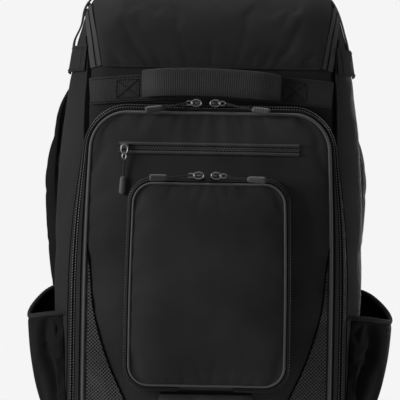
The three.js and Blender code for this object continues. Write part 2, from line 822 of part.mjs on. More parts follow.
const tabRoute = routeCurve(SIDE_TAB_ROUTE).getSpacedPoints(SIDE_TAB.steps);
addPair('side_tab', 'webbing', bodyBand(tabRoute, SIDE_TAB, WEBBING));
const compressionRoute = routeCurve(COMPRESSION_ROUTE).getSpacedPoints(COMPRESSION_STRAP.steps);
addPair('compression_strap', 'webbing', bodyBand(compressionRoute, COMPRESSION_STRAP, WEBBING));

// Bottle pockets

// Row of points of a bottle pocket's wall, drawn in by an inset, at a share of its height
function bottleRow(share, inset, lift) {
  const { front, back, low, mouthFront, mouthBack, sag, columns, fullness } = BOTTLE;
  const out = columnAt(BOTTLE_SWELL, 'out', share) - inset;
  return Array.from({ length: columns + 1 }, (_, index) => {
    const along = index / columns;
    const y = THREE.MathUtils.lerp(front + inset, back - inset, along);
    const mouth = THREE.MathUtils.lerp(mouthFront, mouthBack, along) - sag * Math.sin(Math.PI * along);
    const z = THREE.MathUtils.lerp(low, mouth, share) + lift;
    const swell = Math.sin(Math.PI * along) ** fullness;
    const fromFold = (along - BOTTLE_FOLD.at) / BOTTLE_FOLD.wide;
    const crease = BOTTLE_FOLD.deep * share * Math.exp(-(fromFold ** 2));
    return new THREE.Vector3(bodySide(y, z) + GAP + Math.max(out * swell - crease, 0), y, z);
  });
}

const bottleWall = BOTTLE_LEVELS.map((share) => {
  return [...bottleRow(share, 0, 0), ...bottleRow(share, CLOTH, 0).reverse()];
});
addPair('bottle_pocket', 'cloth', loft(bottleWall, { thin: true }));
const rimProud = (RIM.thick - CLOTH) / 2;
const rimRings = [0, RIM.height].map((height) => {
  const lift = GAP / 2 + height;
  return [...bottleRow(1, -rimProud, lift), ...bottleRow(1, CLOTH + rimProud, lift).reverse()];
});
addPair('bottle_rim', 'webbing', loft(rimRings, { thin: true }));

// Shoulder straps

const strapPad = padSection(STRAP.width, STRAP.thick);
addPair('strap', 'padding', turnedStrap(STRAP_ROUTE, STRAP.steps, strapPad));
const strapWeb = stripSection(STRAP_WEB.width, WEBBING);
addPair('strap_web', 'webbing', turnedStrap(STRAP_WEB_ROUTE, STRAP_WEB.steps, strapWeb));

// Back panel and pull-out handle

// The panel is made facing the front and turned round, with two slots in its top for the rods
const panelTray = {
  ...BACK_PANEL,
  edge: [BACK_PANEL.face.low, BACK_PANEL.face.high].map((z) => ({ z, y: -BACK_PANEL.depth })),
};
const panelShell = trayShell(panelTray, () => -BACK_PANEL.seat, BACK_PANEL.wall).rotateZ(Math.PI);

// Block round the middle of the right-hand tube
function alongTube(wide, deep, low, high) {
  return box({
    x: [TROLLEY.x - wide / 2, TROLLEY.x + wide / 2],
    y: [TROLLEY.y - deep / 2, TROLLEY.y + deep / 2],
    z: [low, high],
  });
}

const slot = solid(alongTube(TUBE.wide, 2 * TUBE.deep, TUBE.high, BACK_PANEL.base.high + TUBE.deep));
add('back_panel', 'padding', geometryOf(cutBothSides(solid(panelShell), slot)));

const bore = { wide: TUBE.wide - 2 * TUBE.wall, deep: TUBE.deep - 2 * TUBE.wall };
const tubeBlock = solid(alongTube(TUBE.wide, TUBE.deep, TUBE.low, TUBE.high));
const tubeBore = solid(alongTube(bore.wide, bore.deep, TUBE.low + TUBE.wall, TUBE.high + TUBE.deep));
addPair('handle_tube', 'plastic', geometryOf(tubeBlock.subtract(tubeBore)));
const rod = { wide: bore.wide - 2 * TROLLEY.fit, deep: bore.deep - 2 * TROLLEY.fit };
addPair('handle_rod', 'aluminium', alongTube(rod.wide, rod.deep, ROD.low, ROD.high));
const gripHeight = GRIP.high - GRIP.low;
const grip = new RoundedBoxGeometry(GRIP.wide, GRIP.deep, gripHeight, 2, GRIP.round);
add('handle_grip', 'plastic', grip.translate(0, TROLLEY.y, (GRIP.low + GRIP.high) / 2));

// Wheels and feet

// Closed profile turned round the right-hand wheel's axis
function turned(profile) {
  const closed = [...profile, profile[0]].map(({ r, x }) => new THREE.Vector2(r, x));
  const lathe = new THREE.LatheGeometry(closed, WHEEL.segments);
  return lathe.rotateZ(Math.PI / 2).translate(WHEEL.x, WHEEL.y, WHEEL.radius);
}

function crosswise(radius, length) {
  const cylinder = new THREE.CylinderGeometry(radius, radius, length, WHEEL.segments);
  return solid(cylinder.rotateZ(Math.PI / 2).translate(WHEEL.x, WHEEL.y, WHEEL.radius));
}

const cavity = crosswise(HOUSING.inner, HOUSING.width - 2 * HOUSING.wall);
const axle = crosswise(WHEEL.axle, HOUSING.width - HOUSING.wall);
addPair('wheel_housing', 'plastic', geometryOf(housingBlock(0).subtract(cavity).add(axle)));
addPair('wheel_hub', 'plastic', turned(HUB_PROFILE));
addPair('wheel_tyre', 'tyre', turned(TYRE_PROFILE));
const foot = new RoundedBoxGeometry(FOOT.wide, FOOT.deep, FOOT.high, 1, FOOT.round);
addPair('foot', 'plastic', foot.translate(FOOT.x, FOOT.y, FOOT.high / 2));

// The middle of the footprint goes to the origin

bag.position.y = -MIDDLE;

export default bag;
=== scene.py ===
# %% [markdown]
# A wheeled kit bag of black cloth, finished around its engineering model.
# The engineering model gives every place and size. This file dresses it: cloth panels that are blown out from
# their seams, zips with coils, ribbed webbing, padded straps, and moulded plastic for the wheels and the handle.
# The bag stands at the origin, its front faces -Y, and +Z is up.

# %% Load the frame
import math

import bpy
import numpy as np
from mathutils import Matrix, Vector
from mathutils.bvhtree import BVHTree


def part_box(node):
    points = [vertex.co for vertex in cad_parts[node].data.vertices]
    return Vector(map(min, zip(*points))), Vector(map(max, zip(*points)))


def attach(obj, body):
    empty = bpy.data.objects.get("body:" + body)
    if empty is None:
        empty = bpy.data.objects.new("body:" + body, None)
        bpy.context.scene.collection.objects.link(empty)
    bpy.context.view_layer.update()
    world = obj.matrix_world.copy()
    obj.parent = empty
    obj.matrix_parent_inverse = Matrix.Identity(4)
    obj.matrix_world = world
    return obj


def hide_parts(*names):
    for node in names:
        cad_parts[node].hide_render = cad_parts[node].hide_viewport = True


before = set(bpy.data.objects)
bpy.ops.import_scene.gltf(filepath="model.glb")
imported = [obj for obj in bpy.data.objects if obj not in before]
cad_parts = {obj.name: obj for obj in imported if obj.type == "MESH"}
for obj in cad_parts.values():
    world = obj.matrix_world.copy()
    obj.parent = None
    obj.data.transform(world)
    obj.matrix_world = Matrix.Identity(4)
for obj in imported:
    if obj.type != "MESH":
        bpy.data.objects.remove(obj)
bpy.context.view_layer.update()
bpy.ops.object.select_all(action="DESELECT")

# %% [markdown]
# The camera comes first, because every choice of detail is made for what it sees.
# The photograph is taken from far away and almost square on, so a long lens is set well back from the bag.
# The width of the view at the front face sets the lens, and the aim is a little to the left of the middle.
# The bag leans a degree to the right in the picture, so the camera is rolled by as much.

# %% Camera
VIEW_TARGET = Vector((-0.012, -0.130, 0.380))
VIEW_DISTANCE = 2.4
VIEW_WIDE = 0.524
VIEW_TURN = math.radians(-0.4)
VIEW_RISE = 0.015
VIEW_ROLL = math.radians(1.0)

bpy.ops.object.camera_add()
camera = bpy.context.object
camera.data.lens = camera.data.sensor_width * VIEW_DISTANCE / VIEW_WIDE
camera.location = VIEW_TARGET + Vector((-math.tan(VIEW_TURN), -1, 0)) * VIEW_DISTANCE
camera.location.z += VIEW_RISE
camera.rotation_euler = (VIEW_TARGET - camera.location).to_track_quat("-Z", "Y").to_euler()
camera.rotation_euler.rotate_axis("Z", VIEW_ROLL)
bpy.context.scene.camera = camera
print("lens in mm:", round(camera.data.lens, 1))

# %% [markdown]
# The studio is a white surround with a pale floor that fades out at its rim, so no horizon line shows.
# The camera sees the surround as white, but it gives the bag only a weak fill, as a dimmed white room would.
# A soft light close by on the left gives the cloth its fall from grey to black, one from above lightens the top
# of the lid, a weak one lifts the right-hand side, and a lamp behind draws a thin light line along that edge.

# %% Studio
SURROUND = 0.913
FILL = 0.21
FLOOR_RADIUS = 0.86
LIGHTS = [
    {"name": "key", "place": (-1.3, -0.68, 0.72), "aim": (-0.05, -0.1, 0.33), "size": 0.6, "watts": 28},
    {"name": "top", "place": (-0.1, 0.15, 2.2), "aim": (0, 0, 0.6), "size": 1.0, "watts": 36},
    {"name": "edge", "place": (1.05, 1.85, 0.5), "aim": (0.2, 0, 0.35), "size": 0.5, "watts": 22},
    {"name": "side", "place": (1.5, 0.05, 0.25), "aim": (0.2, 0, 0.25), "size": 0.5, "watts": 8},
]


def add_light(name, place, aim, size, watts):
    bpy.ops.object.light_add(type="AREA", location=place)
    light = bpy.context.object
    light.name = name
    light.data.size = size
    light.data.energy = watts
    light.visible_camera = False
    light.rotation_euler = (Vector(aim) - Vector(place)).to_track_quat("-Z", "Y").to_euler()


for row in LIGHTS:
    add_light(**row)

world = bpy.data.worlds.new("surround")
world.use_nodes = True
sky = world.node_tree
brightness = sky.nodes.new("ShaderNodeMapRange")
brightness.inputs["To Min"].default_value = FILL
brightness.inputs["To Max"].default_value = SURROUND
sky.links.new(sky.nodes.new("ShaderNodeLightPath").outputs["Is Camera Ray"], brightness.inputs["Value"])
sky.links.new(brightness.outputs["Result"], sky.nodes["Background"].inputs["Strength"])
sky.nodes["Background"].inputs["Color"].default_value = (1, 1, 1, 1)
bpy.context.scene.world = world
bpy.context.scene.view_settings.view_transform = "Standard"

bpy.ops.mesh.primitive_circle_add(vertices=96, radius=FLOOR_RADIUS, fill_type="NGON")
floor = bpy.context.object
floor.name = "floor"
print("lights:", [row["name"] for row in LIGHTS])

# %% [markdown]
# Finishes are built from node groups, so that the same weave or wear can be placed in several materials.
# A group takes the coordinates of the piece and puts out only what varies over the surface.
# These short helpers add a node, join sockets and start a group, which keeps each finish readable.

# %% Helpers for nodes


def add_node(tree, kind, values=(), **settings):
    node = tree.nodes.new("ShaderNode" + kind)
    for key, value in settings.items():
        setattr(node, key, value)
    for socket, value in dict(values).items():
        if isinstance(value, bpy.types.NodeSocket):
            tree.links.new(value, node.inputs[socket])
        else:
            node.inputs[socket].default_value = value
    return node


def maths(tree, operation, first, second=0.0):
    return add_node(tree, "Math", {0: first, 1: second}, operation=operation).outputs[0]


def start_group(name, inputs, outputs):
    group = bpy.data.node_groups.new(name, "ShaderNodeTree")
    for socket, kind in inputs.items():
        group.interface.new_socket(socket, in_out="INPUT", socket_type="NodeSocket" + kind)
    for socket in outputs:
        group.interface.new_socket(socket, in_out="OUTPUT", socket_type="NodeSocketFloat")
    return group, group.nodes.new("NodeGroupInput").outputs, group.nodes.new("NodeGroupOutput").inputs


# %% [markdown]
# Bag cloth is a plain weave: threads go over and under each other, so bumps and dips alternate like a chessboard.
# The product of two sine waves gives exactly that, and a fine noise makes the threads a little uneven.
# The same group, with its own thread counts along and across, serves the tapes and the webbing.

# %% Group: weave
SLUB = {"scale": 900.0, "detail": 2.0, "height": 0.6}
BUMP_SHADE = 0.12
weave, given, put = start_group(
    "weave", {"Vector": "Vector", "Along": "Float", "Across": "Float"}, ["Height", "Shade"]
)
split = add_node(weave, "SeparateXYZ", {0: given["Vector"]})
along = maths(weave, "SINE", maths(weave, "MULTIPLY", split.outputs[0], given["Along"]))
across = maths(weave, "SINE", maths(weave, "MULTIPLY", split.outputs[1], given["Across"]))
bumps = maths(weave, "MULTIPLY", along, across)
slub = add_node(weave, "TexNoise", {"Vector": given["Vector"], "Scale": SLUB["scale"], "Detail": SLUB["detail"]})
uneven = maths(weave, "MULTIPLY", slub.outputs["Fac"], SLUB["height"])
weave.links.new(maths(weave, "ADD", bumps, uneven), put["Height"])
# The colour follows the bumps, lighter on raised threads and darker in the dips: painted shade. The fine noise adds
# uneven tone.
shade = maths(weave, "MULTIPLY", bumps, BUMP_SHADE)
weave.links.new(maths(weave, "ADD", shade, slub.outputs["Fac"]), put["Shade"])
print("weave group:", len(weave.nodes), "nodes")

# %% [markdown]
# Black cloth is never one black. Handling and dust leave soft cloudy patches, some a few centimetres wide and some
# much finer. The cloud group gives a value from 0 to 1 for colour and roughness.

# %% Group: cloud
CLOUD = {"detail": 4.0, "from": 0.3, "to": 0.7}
cloud, given, put = start_group("cloud", {"Vector": "Vector", "Scale": "Float"}, ["Value"])
broad = add_node(cloud, "TexNoise", {"Vector": given["Vector"], "Scale": given["Scale"], "Detail": CLOUD["detail"]})
spread = add_node(cloud, "MapRange", {0: broad.outputs["Fac"], 1: CLOUD["from"], 2: CLOUD["to"]})
cloud.links.new(spread.outputs[0], put["Value"])
print("cloud group:", len(cloud.nodes), "nodes")

# %% [markdown]
# Every finish is one recipe with its own values: two tones mixed by a value that changes over the surface, a
# roughness that wears in patches, and a bump. On a fabric the clouds and the threads mix the tones, and the weave is
# the bump. Its coordinates come from the piece's own UV map, which is drawn in metres, or from the object on pads.

# %% Fabric finishes
FABRIC = {"patches": 14.0, "wear": 0.06, "deep": 0.0004}
BLUISH = 1.03


def grey(value):
    return (value, value, value * BLUISH)


def start_material(name):
    material = bpy.data.materials.new(name)
    material.use_nodes = True
    return material, material.node_tree, material.node_tree.nodes["Principled BSDF"]


def patches_on(tree, place, kind):
    return add_node(tree, "Group", {"Vector": place, "Scale": kind["patches"]}, node_tree=cloud).outputs["Value"]


def coat(tree, shader, kind, tone, dark, light, patches, rough, height, bump):
    """Joins two mixed tones, a roughness that wears in patches and a bump to a shader."""
    colour = add_node(tree, "Mix", {"Factor": tone, 6: (*dark, 1), 7: (*light, 1)}, data_type="RGBA")
    worn = add_node(tree, "MapRange", {0: patches, 3: rough - kind["wear"], 4: rough + kind["wear"]})
    raised = add_node(tree, "Bump", {"Strength": bump, "Distance": kind["deep"], "Height": height})
    joins = {"Base Color": colour.outputs[2], "Roughness": worn.outputs[0], "Normal": raised.outputs[0]}
    for socket, output in joins.items():
        tree.links.new(output, shader.inputs[socket])


def fabric(name, dark, light, along, across, rough=0.85, bump=0.3, specular=0.15, by_object=False):
    material, tree, shader = start_material(name)
    place = add_node(tree, "TexCoord").outputs
    counts = {"Along": 2 * math.pi * along, "Across": 2 * math.pi * across}
    vector = place["Object" if by_object else "UV"]
    threads = add_node(tree, "Group", {"Vector": vector, **counts}, node_tree=weave).outputs
    patches = patches_on(tree, place["Object"], FABRIC)
    tone = maths(tree, "MULTIPLY", patches, threads["Shade"])
    coat(tree, shader, FABRIC, tone, grey(dark), grey(light), patches, rough, threads["Height"], bump)
    shader.inputs["Specular IOR Level"].default_value = specular
    return material


cloth = fabric("bag_cloth", dark=0.008, light=0.027, along=900, across=900)
# The side panels take a darker copy of the bag cloth: painted shade, for sides that stand in shadow.
shaded_side_cloth = fabric("shaded_side_cloth", dark=0.004, light=0.014, along=900, across=900, specular=0.22)
lid_fabric = fabric("lid_fabric", dark=0.007, light=0.026, along=900, across=900)
stretch_cloth = fabric("stretch_cloth", dark=0.004, light=0.010, along=700, across=1100, specular=0.05)
rim_cloth = fabric("rim_cloth", dark=0.008, light=0.020, along=700, across=1100, specular=0.1)
mesh_cloth = fabric("spacer_mesh", dark=0.030, light=0.070, along=500, across=500, bump=0.5)
tape_cloth = fabric("zip_tape", dark=0.010, light=0.020, along=1400, across=700, specular=0.03)
lid_tape = fabric("lid_zip_tape", dark=0.022, light=0.042, along=1400, across=700, rough=0.75)
webbing = fabric("ribbed_webbing", dark=0.015, light=0.033, along=420, across=1100, rough=0.7, bump=0.6)
tab_webbing = fabric("tab_webbing", dark=0.008, light=0.018, along=420, across=1100, rough=0.7, bump=0.6)
piping_cloth = fabric("satin_piping", dark=0.030, light=0.050, along=1200, across=1200, rough=0.6, specular=0.3)
pad_cloth = fabric("pad_cloth", dark=0.005, light=0.010, along=600, across=600, specular=0.03, by_object=True)
panel_cloth = fabric("panel_cloth", dark=0.009, light=0.020, along=600, across=600, by_object=True)
# A near-black finish laid as strips and tubes in grooves and seams that lie in shadow: painted shade.
painted_shade = fabric("shade", dark=0.002, light=0.004, along=500, across=500, specular=0.0)
# The holes of the spacer mesh take a darker copy of its finish: painted shade.
mesh_shade = fabric("mesh_shade", dark=0.008, light=0.014, along=500, across=500, specular=0.0)
thread = fabric("thread", dark=0.008, light=0.018, along=2500, across=300, rough=0.7)
print("weave is used by", weave.users, "fabrics")

# %% [markdown]
# Hard pieces share a second recipe. Moulded plastic, rubber and nylon have a fine grain, here a shallow pattern of
# cells, and are duller in the patches where hands touch them. Metal is the same with the shader set to metallic.
# The floor only fades out towards its rim.

# %% Hard finishes
HARD = {"patches": 30.0, "wear": 0.08, "deep": 0.0003, "dark": 0.8, "light": 1.2}
FLOOR = {"grey": (0.82, 0.82, 0.82, 1), "rough": 0.9, "fade": 0.45}


def moulded(name, tone, rough=0.5, grain=1800.0, bump=0.15, metallic=0.0, specular=0.3):
    material, tree, shader = start_material(name)
    place = add_node(tree, "TexCoord").outputs["Object"]
    patches = patches_on(tree, place, HARD)
    fine = add_node(tree, "TexVoronoi", {"Vector": place, "Scale": grain}).outputs["Distance"]
    dark, light = [[c * HARD[end] for c in grey(tone)] for end in ("dark", "light")]
    coat(tree, shader, HARD, patches, dark, light, patches, rough, fine, bump)
    shader.inputs["Metallic"].default_value = metallic
    shader.inputs["Specular IOR Level"].default_value = specular
    return material


plastic = moulded("moulded_plastic", tone=0.012)
rubber = moulded("tyre_rubber", tone=0.011, rough=0.75, grain=900.0, bump=0.3)
pull_rubber = moulded("pull_rubber", tone=0.030, rough=0.55, grain=2400.0)
coil_nylon = moulded("coil_nylon", tone=0.036, rough=0.45, grain=2600.0, bump=0.05)
slider_metal = moulded("slider_metal", tone=0.12, rough=0.5, metallic=1.0, bump=0.05)
rod_metal = moulded("satin_metal", tone=0.07, rough=0.5, grain=3000.0, bump=0.05, metallic=1.0)

floor_material, tree, shader = start_material("pale_floor")
shader.inputs["Roughness"].default_value = FLOOR["rough"]
shader.inputs["Base Color"].default_value = FLOOR["grey"]
from_middle = add_node(tree, "VectorMath", {0: add_node(tree, "TexCoord").outputs["Object"]}, operation="LENGTH")
ends = {1: FLOOR_RADIUS * FLOOR["fade"], 2: FLOOR_RADIUS, 3: 1.0, 4: 0.0}
fade = add_node(tree, "MapRange", {0: from_middle.outputs["Value"], **ends})
tree.links.new(fade.outputs[0], shader.inputs["Alpha"])
floor.data.materials.append(floor_material)
print("materials:", len(bpy.data.materials))

# %% [markdown]
# The drawing's numbers are in millimetres, with the depth measured from its own middle. The bag's body is a stack
# of rounded rectangles, one row for each level. A smooth curve through the rows gives the section at any height.

# %% The drawing of the body
MM = 0.001
MIDDLE = 6
GAP = 1

BODY = {
    "z": [22, 30, 50, 180, 320, 440, 530, 590, 635, 660, 675, 682],
    "half": [176, 188, 196, 206, 209, 204, 194, 184, 173, 161, 145, 122],
    "front": [-56, -65, -69, -71, -71, -70, -68, -64, -54, -38, -17, 6],
    "back": [100, 107, 110, 110, 110, 110, 110, 109, 106, 99, 88, 70],
    "r_front": [50, 50, 50, 55, 55, 55, 55, 55, 55, 55, 52, 30],
    "r_back": [40, 40, 40, 45, 45, 45, 45, 45, 45, 45, 45, 30],
}


def metres(points):
    return (np.asarray(points, float) - (0, MIDDLE, 0)) * MM


def column_at(table, column, z):
    """Smooth value of a table's column at each height, through all of its rows."""
    heights = np.array(table["z"], float)
    values = np.array(table[column], float)
    wide_z = np.concatenate([heights[:1], heights, heights[-1:]])
    wide_v = np.concatenate([values[:1], values, values[-1:]])
    slopes = (wide_v[2:] - wide_v[:-2]) / (wide_z[2:] - wide_z[:-2])
    z = np.clip(z, heights[0], heights[-1])
    row = np.clip(np.searchsorted(heights, z, side="right") - 1, 0, len(heights) - 2)
    span = heights[row + 1] - heights[row]
    t = (z - heights[row]) / span
    start = (1 + 2 * t) * values[row] + t * span * slopes[row]
    end = (3 - 2 * t) * values[row + 1] + (t - 1) * span * slopes[row + 1]
    return (1 - t) ** 2 * start + t**2 * end


def body_section(z):
    return [column_at(BODY, name, z) for name in ("half", "front", "back", "r_front", "r_back")]


print("body half width at 400 mm:", round(float(column_at(BODY, "half", 400.0)), 1))

# %% [markdown]
# Two more readings of the body are needed. One is the depth of its front at a place, for what is sewn on it.
# The other is the nearest point of its surface, found by stepping down the distance from the section's outline,
# for tapes and webbing that wrap round the corners.

# %% Places on the body
NEARER_STEPS = 8


def body_front(x, z):
    half, front, _, r, _ = body_section(z)
    past = np.clip(np.abs(x) - half + r, 0, r)
    return front + r - np.sqrt(r**2 - past**2)


def body_side(y, z):
    half, front, back, r_front, r_back = body_section(z)
    past_front = np.maximum(front + r_front - y, 0)
    past_back = np.maximum(y - back + r_back, 0)
    r = np.where(past_front > 0, r_front, r_back)
    return half - r + np.sqrt(np.maximum(r**2 - np.maximum(past_front, past_back) ** 2, 0))


def body_distance(points):
    x, y, z = np.moveaxis(points, -1, 0)
    half, front, back, r_front, r_back = body_section(z)
    middle = (front + back) / 2
    r = np.where(y < middle, r_front, r_back)
    u = np.abs(x) - half + r
    v = np.abs(y - middle) - (back - front) / 2 + r
    return np.minimum(np.maximum(u, v), 0) + np.hypot(np.maximum(u, 0), np.maximum(v, 0)) - r


def body_slope(points, step=0.5):
    moves = np.eye(3) * step
    ahead = [body_distance(points + move) - body_distance(points - move) for move in moves]
    return np.stack(ahead, axis=-1) / (2 * step)


def unit(vectors):
    return vectors / np.linalg.norm(vectors, axis=-1, keepdims=True)


def on_body(points, gap):
    found = np.array(points, float)
    for _ in range(NEARER_STEPS):
        slope = body_slope(found)
        found -= slope * (body_distance(found) / (slope**2).sum(axis=-1))[..., None]
    return found + unit(body_slope(found)) * gap


print("body front at the middle of the handle:", round(float(body_front(0.0, 529.0)), 1))

# %% [markdown]
# A cloth panel starts as a grid primitive, and each of its points is laid on the drawn surface, as a maker lays
# cloth on a form. The grid's own UV map is kept and scaled to metres, so a weave keeps its size on every panel.
# Panels that run all the way round are joined where their ends meet.

# %% Laying a grid on a surface
SAME_POINT = 1e-5


def edit(step, **settings):
    """Runs one mesh operator on all of the active piece."""
    bpy.ops.object.mode_set(mode="EDIT")
    bpy.ops.mesh.select_all(action="SELECT")
    getattr(bpy.ops.mesh, step)(**settings)
    bpy.ops.object.mode_set(mode="OBJECT")


def activate(piece):
    bpy.ops.object.select_all(action="DESELECT")
    piece.select_set(True)
    bpy.context.view_layer.objects.active = piece


def points_of(piece):
    flat = np.empty(len(piece.data.vertices) * 3)
    piece.data.vertices.foreach_get("co", flat)
    return flat.reshape(-1, 3)


def drawn_points(piece):
    """The points of a piece in the drawing's millimetres."""
    return points_of(piece) / MM + (0, MIDDLE, 0)


def move_points(piece, points):
    piece.data.vertices.foreach_set("co", np.ascontiguousarray(points, float).ravel())
    piece.data.update()


def draped(name, columns, rows, surface, joined=False):
    bpy.ops.object.select_all(action="DESELECT")
    bpy.ops.mesh.primitive_grid_add(x_subdivisions=columns, y_subdivisions=rows, size=1)
    piece = bpy.context.object
    piece.name = piece.data.name = name
    mesh = piece.data
    share = points_of(piece)[:, :2] + 0.5
    laid = metres(surface(share[:, 0], share[:, 1]))
    move_points(piece, laid)
    grid = laid[np.lexsort((share[:, 0], share[:, 1].round(6)))].reshape(rows + 1, columns + 1, 3)
    wide = np.linalg.norm(np.diff(grid, axis=1), axis=2).sum(axis=1).mean()
    tall = np.linalg.norm(np.diff(grid, axis=0), axis=2).sum(axis=0).mean()
    corner = np.empty(len(mesh.loops), np.int32)
    mesh.loops.foreach_get("vertex_index", corner)
    flat = (share * (wide, tall))[corner].astype(np.float32)
    mesh.uv_layers.active.data.foreach_set("uv", flat.ravel())
    if joined:
        edit("remove_doubles", threshold=SAME_POINT)
    return piece


print("points closer than", SAME_POINT / MM, "mm are joined")

# %% [markdown]
# Cloth that is filled swells between its seams. Blender's cloth solver does this with a little pressure and no
# gravity: the seams are pinned, the cloth is cut slightly too large so that it puckers where it is gathered, and
# twenty frames are enough. How far a point may move is limited, so the panel stays in its place on the bag.

# %% Filling the cloth
SIM_FRAMES = 20
TINY = 1e-9
CLOTH_RUN = {"quality": 4, "mass": 0.25, "bending_stiffness": 0.8, "use_pressure": True, "vertex_group_mass": "seams"}


def filled(piece, seams, pressure, slack, limit):
    start = points_of(piece)
    group = piece.vertex_groups.new(name="seams")
    group.add([int(i) for i in np.flatnonzero(seams)], 1.0, "REPLACE")
    activate(piece)
    bpy.ops.object.modifier_add(type="CLOTH")
    cloth_run = piece.modifiers["Cloth"]
    for key, value in {**CLOTH_RUN, "uniform_pressure_force": pressure, "shrink_min": -slack}.items():
        setattr(cloth_run.settings, key, value)
    cloth_run.settings.effector_weights.gravity = 0
    cloth_run.point_cache.frame_end = SIM_FRAMES
    for number in range(1, SIM_FRAMES + 1):
        bpy.context.scene.frame_set(number)
    bpy.ops.object.modifier_apply(modifier="Cloth")
    bpy.context.scene.frame_set(1)
    move = points_of(piece) - start
    length = np.linalg.norm(move, axis=1, keepdims=True) + TINY
    reach = limit * MM
    move_points(piece, start + move / length * reach * np.tanh(length / reach))
    piece.vertex_groups.clear()
    print(piece.name, "filled, moved up to", round(float(length.max()) / MM, 1), "mm")


print("cloth is filled in", SIM_FRAMES, "frames")

# %% [markdown]
# Each piece is finished in the same few ways: a wall thickness grown inwards, one level of subdivision, smooth
# shading, and its place in the model: the body that it moves with, the node that it stands for and its finish.

# %% Finishing a piece


def modified(piece, kind, **settings):
    activate(piece)
    bpy.ops.object.modifier_add(type=kind)
    modifier = piece.modifiers[-1]
    for key, value in settings.items():
        setattr(modifier, key, value)
    bpy.ops.object.modifier_apply(modifier=modifier.name)


def walled(piece, thick):
    modified(piece, "SOLIDIFY", thickness=thick * MM, offset=-1.0)


def rounded(piece):
    modified(piece, "SUBSURF", levels=1, render_levels=1)


def declared(piece, nodes=(), body="bag"):
    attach(piece, body)
    if nodes:
        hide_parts(*nodes)
    return piece


def finished(piece, material, nodes=(), body="bag", angle=40):
    activate(piece)
    bpy.ops.object.shade_smooth_by_angle(angle=math.radians(angle))
    piece.data.materials.clear()
    piece.data.materials.append(material)
    return declared(piece, nodes, body)


def mirrored(piece, name):
    """A copy on the other side, with its own mesh and its faces turned back outwards."""
    copy = piece.copy()
    copy.data = piece.data.copy()
    copy.name = copy.data.name = name
    bpy.context.collection.objects.link(copy)
    move_points(copy, points_of(copy) * (-1, 1, 1))
    activate(copy)
    edit("flip_normals")
    return copy


def both_sides(piece, material, node=None, body=None):
    """Finishes a piece of the right-hand side and its mirrored copy."""
    copy = mirrored(piece, piece.name.replace("right", "left"))
    for side, half in (("right", piece), ("left", copy)):
        nodes = [f"{node}_{side}"] if node else []
        finished(half, material, nodes, f"{body}_{side}" if body else "bag")
    return piece, copy


# %% [markdown]
# Piping, cords, coils and threads are all tubes along a line. A tube is a grid too: its length follows the line and
# its width goes round it. The radius may change along the line, which makes the beads of a coil.

# %% Tubes along a line


def tube(name, line, radius, sides=8, facing=(0, -1, 0), closed=False, squash=1.0):
    """Tube round a line. It is squashed in the direction that it faces."""
    line = np.asarray(line, float)
    if closed:
        line = np.concatenate([line, line[:1]])
        ahead = np.concatenate([line[1:], line[1:2]])
        behind = np.concatenate([line[-2:-1], line[:-1]])
        tangent = unit(ahead - behind)
    else:
        tangent = unit(np.gradient(line, axis=0))
    facing = np.broadcast_to(np.asarray(facing, float), line.shape)
    out = unit(facing - tangent * (facing * tangent).sum(axis=1, keepdims=True))
    side = np.cross(out, tangent)
    radius = np.broadcast_to(radius, len(line))
    last = len(line) - 1

    def surface(u, v):
        index = np.rint(u * last).astype(int)
        turn = 2 * math.pi * v[:, None]
        ring = np.cos(turn) * out[index] * squash + np.sin(turn) * side[index]
        return line[index] + ring * radius[index][:, None]

    piece = draped(name, last, sides, surface, joined=True)
    if not closed:
        edit("fill_holes", sides=0)
    return piece


def joined_as(name, pieces):
    bpy.ops.object.select_all(action="DESELECT")
    for piece in pieces:
        piece.select_set(True)
    bpy.context.view_layer.objects.active = pieces[0]
    bpy.ops.object.join()
    pieces[0].name = pieces[0].data.name = name
    return pieces[0]


def travelled(line):
    return np.concatenate([[0], np.linalg.norm(np.diff(line[:, :3], axis=0), axis=1).cumsum()])


def evenly(line, count):
    """A number of points at equal distances along a line, and how far along it they are."""
    line = np.asarray(line, float)
    so_far = travelled(line)
    places = np.linspace(0, so_far[-1], count)
    return np.stack([np.interp(places, so_far, column) for column in line.T], axis=1), places


def resampled(line, step):
    line = np.asarray(line, float)
    return evenly(line, max(int(travelled(line)[-1] / step), 2) + 1)


def smooth_line(points, steps=40):
    """Smooth curve through a few points, by one cubic piece between each two."""
    points = np.asarray(points, float)
    padded = np.concatenate([2 * points[:1] - points[1:2], points, 2 * points[-1:] - points[-2:-1]])
    pieces = []
    for a, b, c, d in zip(padded, padded[1:], padded[2:], padded[3:]):
        t = np.linspace(0, 1, steps, endpoint=False)[:, None]
        bend = (2 * a - 5 * b + 4 * c - d) * t**2 + (3 * b - a - 3 * c + d) * t**3
        pieces.append(b + ((c - a) * t + bend) / 2)
    return np.concatenate([*pieces, points[-1:]])


print("about 30 mm apart on a line of 100 mm:", resampled([(0, 0, 0), (0, 0, 100)], 30)[1].round(1).tolist())

# %% [markdown]
# Rounded outlines come up twice: seen from above for the body, and seen from the front for the pockets. Both start
# at the middle of the low side and run counterclockwise, so a grid laid along them has its faces outwards.

# %% Rounded outlines


